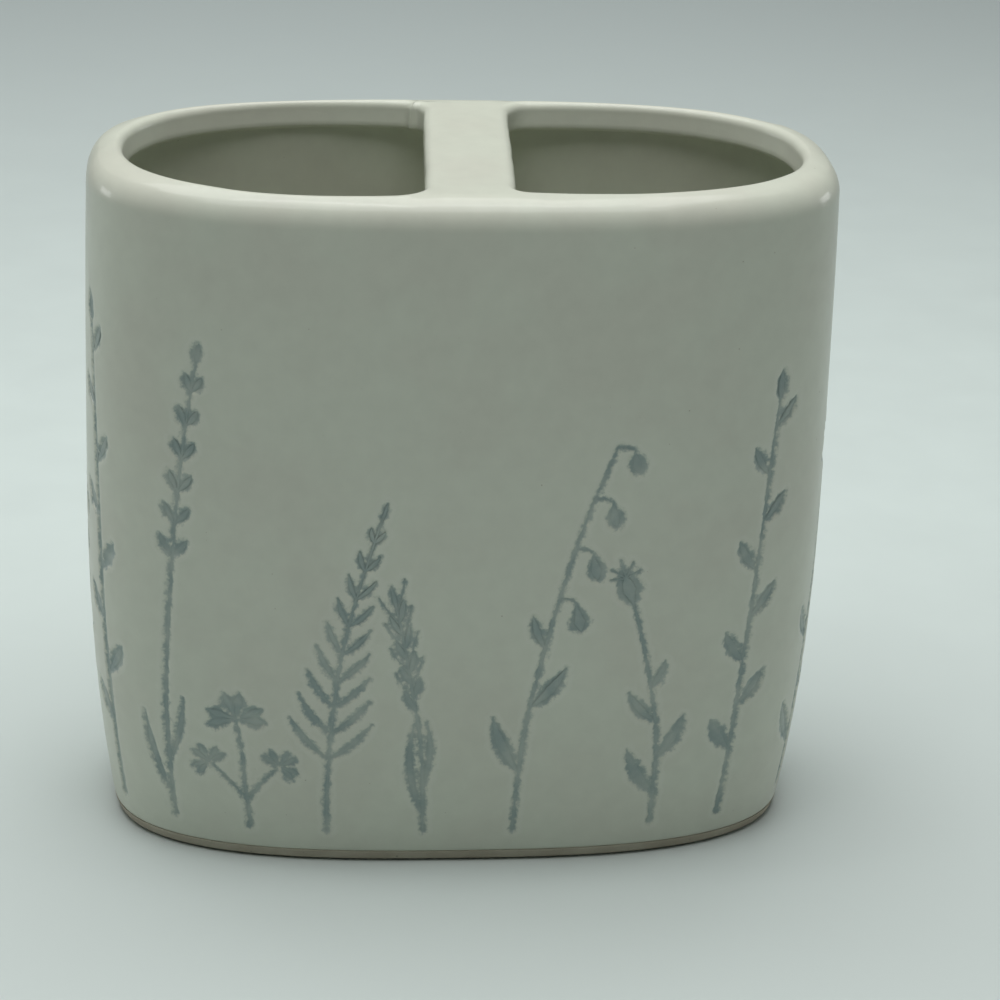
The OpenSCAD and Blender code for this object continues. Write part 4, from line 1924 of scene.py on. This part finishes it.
def baked(obj: Object, tree: NodeTree, identifiers: dict[str, str],
          values: dict[str, object], name: str) -> Mesh:
    """Runs a Geometry Nodes tree on an object and returns what it makes as a plain mesh.

    Args:
        obj: the object that goes in; it is removed afterwards.
        tree: the tree.
        identifiers: the identifier of each of the tree's inputs by its name.
        values: the inputs' values by name.
        name: name of the new mesh.

    Returns:
        The mesh.
    """
    modifier = obj.modifiers.new("shape", "NODES")
    modifier.node_group = tree
    for key, value in values.items():
        modifier[identifiers[key]] = value
    bpy.context.view_layer.update()
    evaluated = obj.evaluated_get(bpy.context.evaluated_depsgraph_get())
    mesh = bpy.data.meshes.new_from_object(evaluated)
    mesh.name = name
    obj.modifiers.remove(modifier)
    bpy.data.objects.remove(obj)
    return mesh


@dataclass
class FootRing:
    """Bare ring that the pot stands on: a rounded section swept along the foot's oval."""

    form: OvalForm
    foot_h: float
    ring_w: float = 5.5
    edge_r: float = 1.3
    inner_edge_r: float = 0.7
    columns: int = 320

    def section(self) -> np.ndarray:
        """The ring's section, across and up, with its outer face at across = 0.

        Returns:
            The section's points in order.
        """
        lean = float(self.form.inset(np.float64(0.0)) - self.form.inset(
            np.float64(self.foot_h)))
        arcs = []
        for centre, radius, start in (((-lean - self.edge_r, self.edge_r), self.edge_r, 0.0),
                                      ((self.inner_edge_r - self.ring_w, self.inner_edge_r),
                                       self.inner_edge_r, -math.pi / 2)):
            turns = start - np.linspace(0, math.pi / 2, 7)
            arcs.append(np.stack([centre[0] + radius * np.cos(turns),
                                  centre[1] + radius * np.sin(turns)], axis=1))
        top = np.array([[-self.ring_w, self.foot_h], [0.0, self.foot_h]])
        return np.concatenate([*arcs, top])

    def tree(self) -> tuple[NodeTree, dict[str, str]]:
        """Builds the tree that lays out the oval and sweeps the section along it.

        Returns:
            The tree, and the identifier of each input by its name.
        """
        number = "NodeSocketFloat"
        tree, identifiers = new_tree("ring_on_oval", "GeometryNodeTree", [
            ("Section", "NodeSocketGeometry", None), ("Columns", "NodeSocketInt", 64),
            ("Half Width", number, 0.05), ("Half Depth", number, 0.03), ("Power", number, 2.0),
            ("Finish", "NodeSocketMaterial", None)], [("Ring", "NodeSocketGeometry")])
        net = Wiring(tree)
        given = net.add("NodeGroupInput").outputs
        circle = net.add("GeometryNodeCurvePrimitiveCircle", {
            "Resolution": given["Columns"], "Radius": 1.0})
        place = net.add("ShaderNodeSeparateXYZ", {0: net.add(
            "GeometryNodeInputPosition").outputs[0]}).outputs
        share = net.math("DIVIDE", 2.0, given["Power"])
        sides = {}
        for axis, half in enumerate(("Half Width", "Half Depth")):
            swell = net.math("POWER", net.math("ABSOLUTE", place[axis]), share)
            sides[axis] = net.math("MULTIPLY", net.math(
                "MULTIPLY", net.math("SIGN", place[axis]), swell), given[half])
        oval = net.add("ShaderNodeCombineXYZ", sides)
        path = net.add("GeometryNodeSetPosition", {
            "Geometry": circle.outputs[0], "Position": oval.outputs[0]})
        even = net.add("GeometryNodeResampleCurve", {
            "Curve": path.outputs[0], "Count": given["Columns"]})
        sweep(net, even.outputs[0], given["Section"], given["Finish"])
        return tree, identifiers

    def build(self, finish: BareClay) -> Object:
        """Makes the ring.

        Args:
            finish: the bare clay.

        Returns:
            The piece.
        """
        inset = float(self.form.inset(np.float64(self.foot_h)))
        section = self.section()
        points = np.column_stack([section[:, 0], -section[:, 1], np.zeros(len(section))])
        source = add_object("ring_section", poly_curve(
            "ring_section", [(points, np.ones(len(points)))], closed=True))
        tree, identifiers = self.tree()
        mesh = baked(source, tree, identifiers, {
            "Columns": self.columns, "Half Width": (self.form.half_w - inset) * MM,
            "Half Depth": (self.form.half_d - inset) * MM, "Power": self.form.power,
            "Finish": finish.material()}, "foot_ring_bare")
        outward(mesh)
        return finish_piece(mesh, "bare_clay", "foot_ring")


def outward(mesh: Mesh) -> None:
    """Turns a swept mesh's faces outward and shades it smooth.

    Args:
        mesh: the mesh.
    """
    bm = bmesh.new()
    bm.from_mesh(mesh)
    bmesh.ops.recalc_face_normals(bm, faces=bm.faces)
    bm.to_mesh(mesh)
    bm.free()
    shade_smooth(mesh, SWEPT_SMOOTH_LIMIT)


@dataclass
class DrawnLines:
    """Colour in the sunk lines: a flat bead swept along every stroke of one side."""

    form: OvalForm
    drawing: Drawing
    side: Side
    width_share: float = 0.52
    bead_h: float = 0.045
    step: float = 0.5
    bead_sides: int = 10
    flatness: float = 0.6

    @staticmethod
    def tree() -> tuple[NodeTree, dict[str, str]]:
        """Builds the tree that sweeps a flat bead along every stroke.

        Returns:
            The tree, and the identifier of each input by its name.
        """
        number = "NodeSocketFloat"
        tree, identifiers = new_tree("beads_on_strokes", "GeometryNodeTree", [
            ("Strokes", "NodeSocketGeometry", None), ("Step", number, 0.0005),
            ("Sides", "NodeSocketInt", 10), ("Width Share", number, 0.9),
            ("Flatness", number, 0.4), ("Finish", "NodeSocketMaterial", None)],
            [("Beads", "NodeSocketGeometry")])
        net = Wiring(tree)
        given = net.add("NodeGroupInput").outputs
        even = net.add("GeometryNodeResampleCurve", {
            "Curve": given["Strokes"], "Length": given["Step"]}, mode="LENGTH")
        circle = net.add("GeometryNodeCurvePrimitiveCircle", {
            "Resolution": given["Sides"], "Radius": 1.0})
        squeeze = net.add("ShaderNodeCombineXYZ", {
            0: given["Width Share"], 1: given["Flatness"], 2: 1.0})
        section = net.add("GeometryNodeTransform", {
            "Geometry": circle.outputs[0], "Scale": squeeze.outputs[0]})
        radius = net.add("GeometryNodeInputRadius").outputs[0]
        sweep(net, even.outputs[0], section.outputs[0], given["Finish"], Scale=radius,
              Fill_Caps=True)
        return tree, identifiers

    def build(self, tree: NodeTree, identifiers: dict[str, str],
              finish: Material) -> Object:
        """Makes the lines of the side.

        Args:
            tree: the tree that sweeps the beads.
            identifiers: the identifiers of its inputs.
            finish: the lines' material.

        Returns:
            The piece.
        """
        name = f"{self.side.value}_lines"
        strokes = [(np.column_stack([stroke.points, np.zeros(len(stroke.points))]),
                    stroke.radii * MM) for stroke in self.drawing.strokes[self.side]]
        source = add_object(name, poly_curve(name, strokes, closed=False))
        mesh = baked(source, tree, identifiers, {
            "Step": self.step * MM, "Sides": self.bead_sides,
            "Width Share": self.width_share, "Flatness": self.flatness, "Finish": finish},
            name)
        flat = np.empty(len(mesh.vertices) * 3)
        mesh.vertices.foreach_get("co", flat)
        flat = flat.reshape(-1, 3) / MM
        rise = self.bead_h * np.tanh(flat[:, 2] / self.bead_h)
        depth = self.drawing.line_depth - rise
        points = self.form.place(self.form.turn_at(flat[:, 0]), flat[:, 1], depth)
        mesh.vertices.foreach_set("co", (points * MM).ravel())
        outward(mesh)
        return finish_piece(mesh, "line_colour", f"{self.side.value}_inlay")


# Studio


@dataclass
class Studio:
    """Pale round floor with a raised rim, soft light from above and beside, the camera."""

    floor_columns: int = 96
    floor_rings: tuple[float, ...] = (0.05, 0.3, 0.8, 1.2)
    floor_r: float = 1.5
    cove_r: float = 0.5
    cove_h: float = 1.3
    cove_steps: int = 13
    # Painted shade on the floor: where in Y, in metres, it darkens in front of the pot and far
    # behind it, and its colours
    near_shade_to: tuple[float, float] = (-0.02, 0.14)
    far_shade_from: tuple[float, float] = (0.14, 0.55)
    floor_colour: Colour = (0.7, 0.79, 0.757, 1)
    near_shade_colour: Colour = (0.635, 0.705, 0.68, 1)
    far_shade_colour: Colour = (0.6, 0.675, 0.66, 1)
    key_power: float = 7.6
    key_size: tuple[float, float] = (0.75, 0.9)
    key_place: tuple[float, float, float] = (-0.05, 0.04, 0.85)
    tube_power: float = 0.52
    tube_size: tuple[float, float] = (0.4, 0.05)
    tube_place: tuple[float, float, float] = (-0.03, 0.0, 0.84)
    side_place: tuple[float, float, float] = (1.0, 0.4, 0.16)
    side_powers: tuple[float, float] = (0.066, 0.062)
    side_size: tuple[float, float] = (0.3, 0.24)
    side_spread: float = 40.0
    sky_colour: Colour = (0.93, 1.0, 1.0, 1)
    sky_strength: float = 0.02
    focal_px: float = 3016.76
    frame_px: float = 1000.0
    yaw: float = 5.596
    pitch: float = 23.274
    roll: float = 2.076
    eye: tuple[float, float, float] = (-34.985, -429.656, 235.417)

    def build(self) -> None:
        """Makes floor, lights and camera."""
        self.make_floor()
        self.make_light()
        self.make_camera()

    def make_floor(self) -> None:
        """Makes the floor as one turned surface."""
        columns = self.floor_columns
        turns = np.arange(columns) * 2 * math.pi / columns
        profile = [(radius, 0.0) for radius in (*self.floor_rings, self.floor_r)]
        for turn in np.linspace(0, math.pi / 2, self.cove_steps)[1:]:
            profile.append((self.floor_r + self.cove_r * math.sin(turn),
                            self.cove_r * (1 - math.cos(turn))))
        profile.append((self.floor_r + self.cove_r, self.cove_h))
        skin = Skin()
        rings = skin.bands([np.stack([np.cos(turns) * radius / MM, np.sin(turns) * radius / MM,
                                      np.full(columns, height / MM)], axis=1)
                            for radius, height in profile])
        skin.faces = [face[::-1] for face in skin.faces]
        skin.fan(rings[0], np.zeros(3))
        floor = add_object("studio_floor", skin.mesh("studio_floor"))
        floor.data.materials.append(self.floor_material())

    def floor_material(self) -> Material:
        """Plain pale paper with painted shade: a little darker far behind the pot and in front of
        it.

        Returns:
            The material.
        """
        material, net = new_material("studio_paper")
        base = surfaced(net, Colour=self.floor_colour, Blotch_Colour=self.floor_colour,
                        Blotch_Size=120.0, Blotch_Strength=0.0, Speck_Share=0.0,
                        Roughness=0.7, Roughness_Swing=0.05, Grain_Size=0.6,
                        Grain_Height=0.006).outputs
        place = net.add("ShaderNodeSeparateXYZ", {
            0: net.add("ShaderNodeTexCoord").outputs["Object"]}).outputs
        # Painted shade: the floor is darkened in front of the pot and far behind it
        near_shaded = net.mix(net.ramp(place[1], *self.near_shade_to), self.near_shade_colour, base["Colour"])
        colour = net.mix(net.ramp(place[1], *self.far_shade_from), near_shaded, self.far_shade_colour)
        shaded(net, colour, base["Roughness"], base["Height"], IOR=1.4)
        return material

    def make_light(self) -> None:
        """Makes the overhead soft light, the side lights and the room's faint light."""
        self.make_lamp("soft_box", self.key_size, self.key_power, self.key_place)
        self.make_lamp("tube", self.tube_size, self.tube_power, self.tube_place)
        for name, way, power in zip(("left_box", "right_box"), (-1, 1), self.side_powers):
            self.make_side_light(name, way, power)
        world = bpy.data.worlds.new("room")
        world.use_nodes = True
        net = Wiring(world.node_tree)
        sky = net.add("ShaderNodeBackground", {"Color": self.sky_colour,
                                               "Strength": self.sky_strength})
        net.add("ShaderNodeOutputWorld", {"Surface": sky.outputs[0]})
        bpy.context.scene.world = world

    @staticmethod
    def make_lamp(name: str, size: tuple[float, float], power: float,
                  place: tuple[float, float, float]) -> Object:
        """Makes a flat lamp that looks down.

        Args:
            name: its name.
            size: its two sides in metres.
            power: its power in watts.
            place: where it hangs, in metres.

        Returns:
            The lamp's object.
        """
        lamp = bpy.data.lights.new(name, "AREA")
        lamp.shape = "RECTANGLE"
        lamp.size, lamp.size_y = size
        lamp.energy = power
        box = add_object(name, lamp)
        box.location = place
        return box

    def make_side_light(self, name: str, way: int, power: float) -> None:
        """Makes a weak soft light beside and behind the pot, which lights its ends.

        Args:
            name: the lamp's name.
            way: -1 on the left, 1 on the right.
            power: its power in watts.
        """
        place = (way * self.side_place[0], *self.side_place[1:])
        box = self.make_lamp(name, self.side_size, power, place)
        box.data.spread = math.radians(self.side_spread)
        box.rotation_euler = (-Vector(box.location)).to_track_quat("-Z", "Y").to_euler()
        box.visible_camera = False

    def make_camera(self) -> None:
        """Makes the camera and the plain colour rendering."""
        yaw, pitch, roll = (math.radians(turn) for turn in (self.yaw, self.pitch, self.roll))
        ahead = Vector((math.sin(yaw) * math.cos(pitch), math.cos(yaw) * math.cos(pitch),
                        -math.sin(pitch)))
        level = Vector((math.cos(yaw), -math.sin(yaw), 0))
        above = level.cross(ahead)
        right = math.cos(roll) * level + math.sin(roll) * above
        up = -math.sin(roll) * level + math.cos(roll) * above
        lens = bpy.data.cameras.new("camera")
        lens.sensor_width = 36
        lens.lens = self.focal_px * lens.sensor_width / self.frame_px
        camera = add_object("camera", lens)
        camera.matrix_world = Matrix.Translation(Vector(self.eye) * MM) @ Matrix(
            (right, up, -ahead)).transposed().to_4x4()
        scene = bpy.context.scene
        scene.camera = camera
        scene.view_settings.view_transform = "Standard"


class BrushHolder:
    """The whole object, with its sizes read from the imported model."""

    def __init__(self) -> None:
        """Reads the sizes."""
        wall_low, wall_high = (np.array(corner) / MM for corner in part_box("body_wall"))
        deck_high = np.array(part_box("top_deck")[1]) / MM
        floor_high = np.array(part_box("base_plate")[1]) / MM
        bar_box = tuple(np.array(corner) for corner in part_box("divider_bar"))
        self.form = OvalForm(half_w=(wall_high[0] - wall_low[0]) / 2,
                             half_d=(wall_high[1] - wall_low[1]) / 2, top_z=deck_high[2])
        self.drawing = Drawing(self.form)
        self.glaze = Glaze()
        self.wall = PotWall(self.form, self.drawing, foot_z=wall_low[2],
                            floor_z=floor_high[2], deck_z=wall_high[2])
        self.deck = Deck(self.form, deck_z=wall_high[2], bar_box=bar_box)
        self.floor = PotFloor(self.form, foot_z=wall_low[2], floor_z=floor_high[2])
        self.foot = FootRing(self.form, foot_h=wall_low[2])

    def build(self) -> None:
        """Builds and dresses every piece."""
        self.wall.build(self.glaze)
        self.deck.build(self.glaze)
        self.floor.build(self.glaze)
        self.foot.build(BareClay())
        tree, identifiers = DrawnLines.tree()
        finish = LineColour().material()
        for side in Side:
            DrawnLines(self.form, self.drawing, side).build(tree, identifiers, finish)


def main() -> None:
    """Builds the object and the studio."""
    logging.basicConfig(level=logging.INFO, format="%(name)s: %(message)s")
    BrushHolder().build()
    Studio().build()


if __name__ == "__main__":
    main()
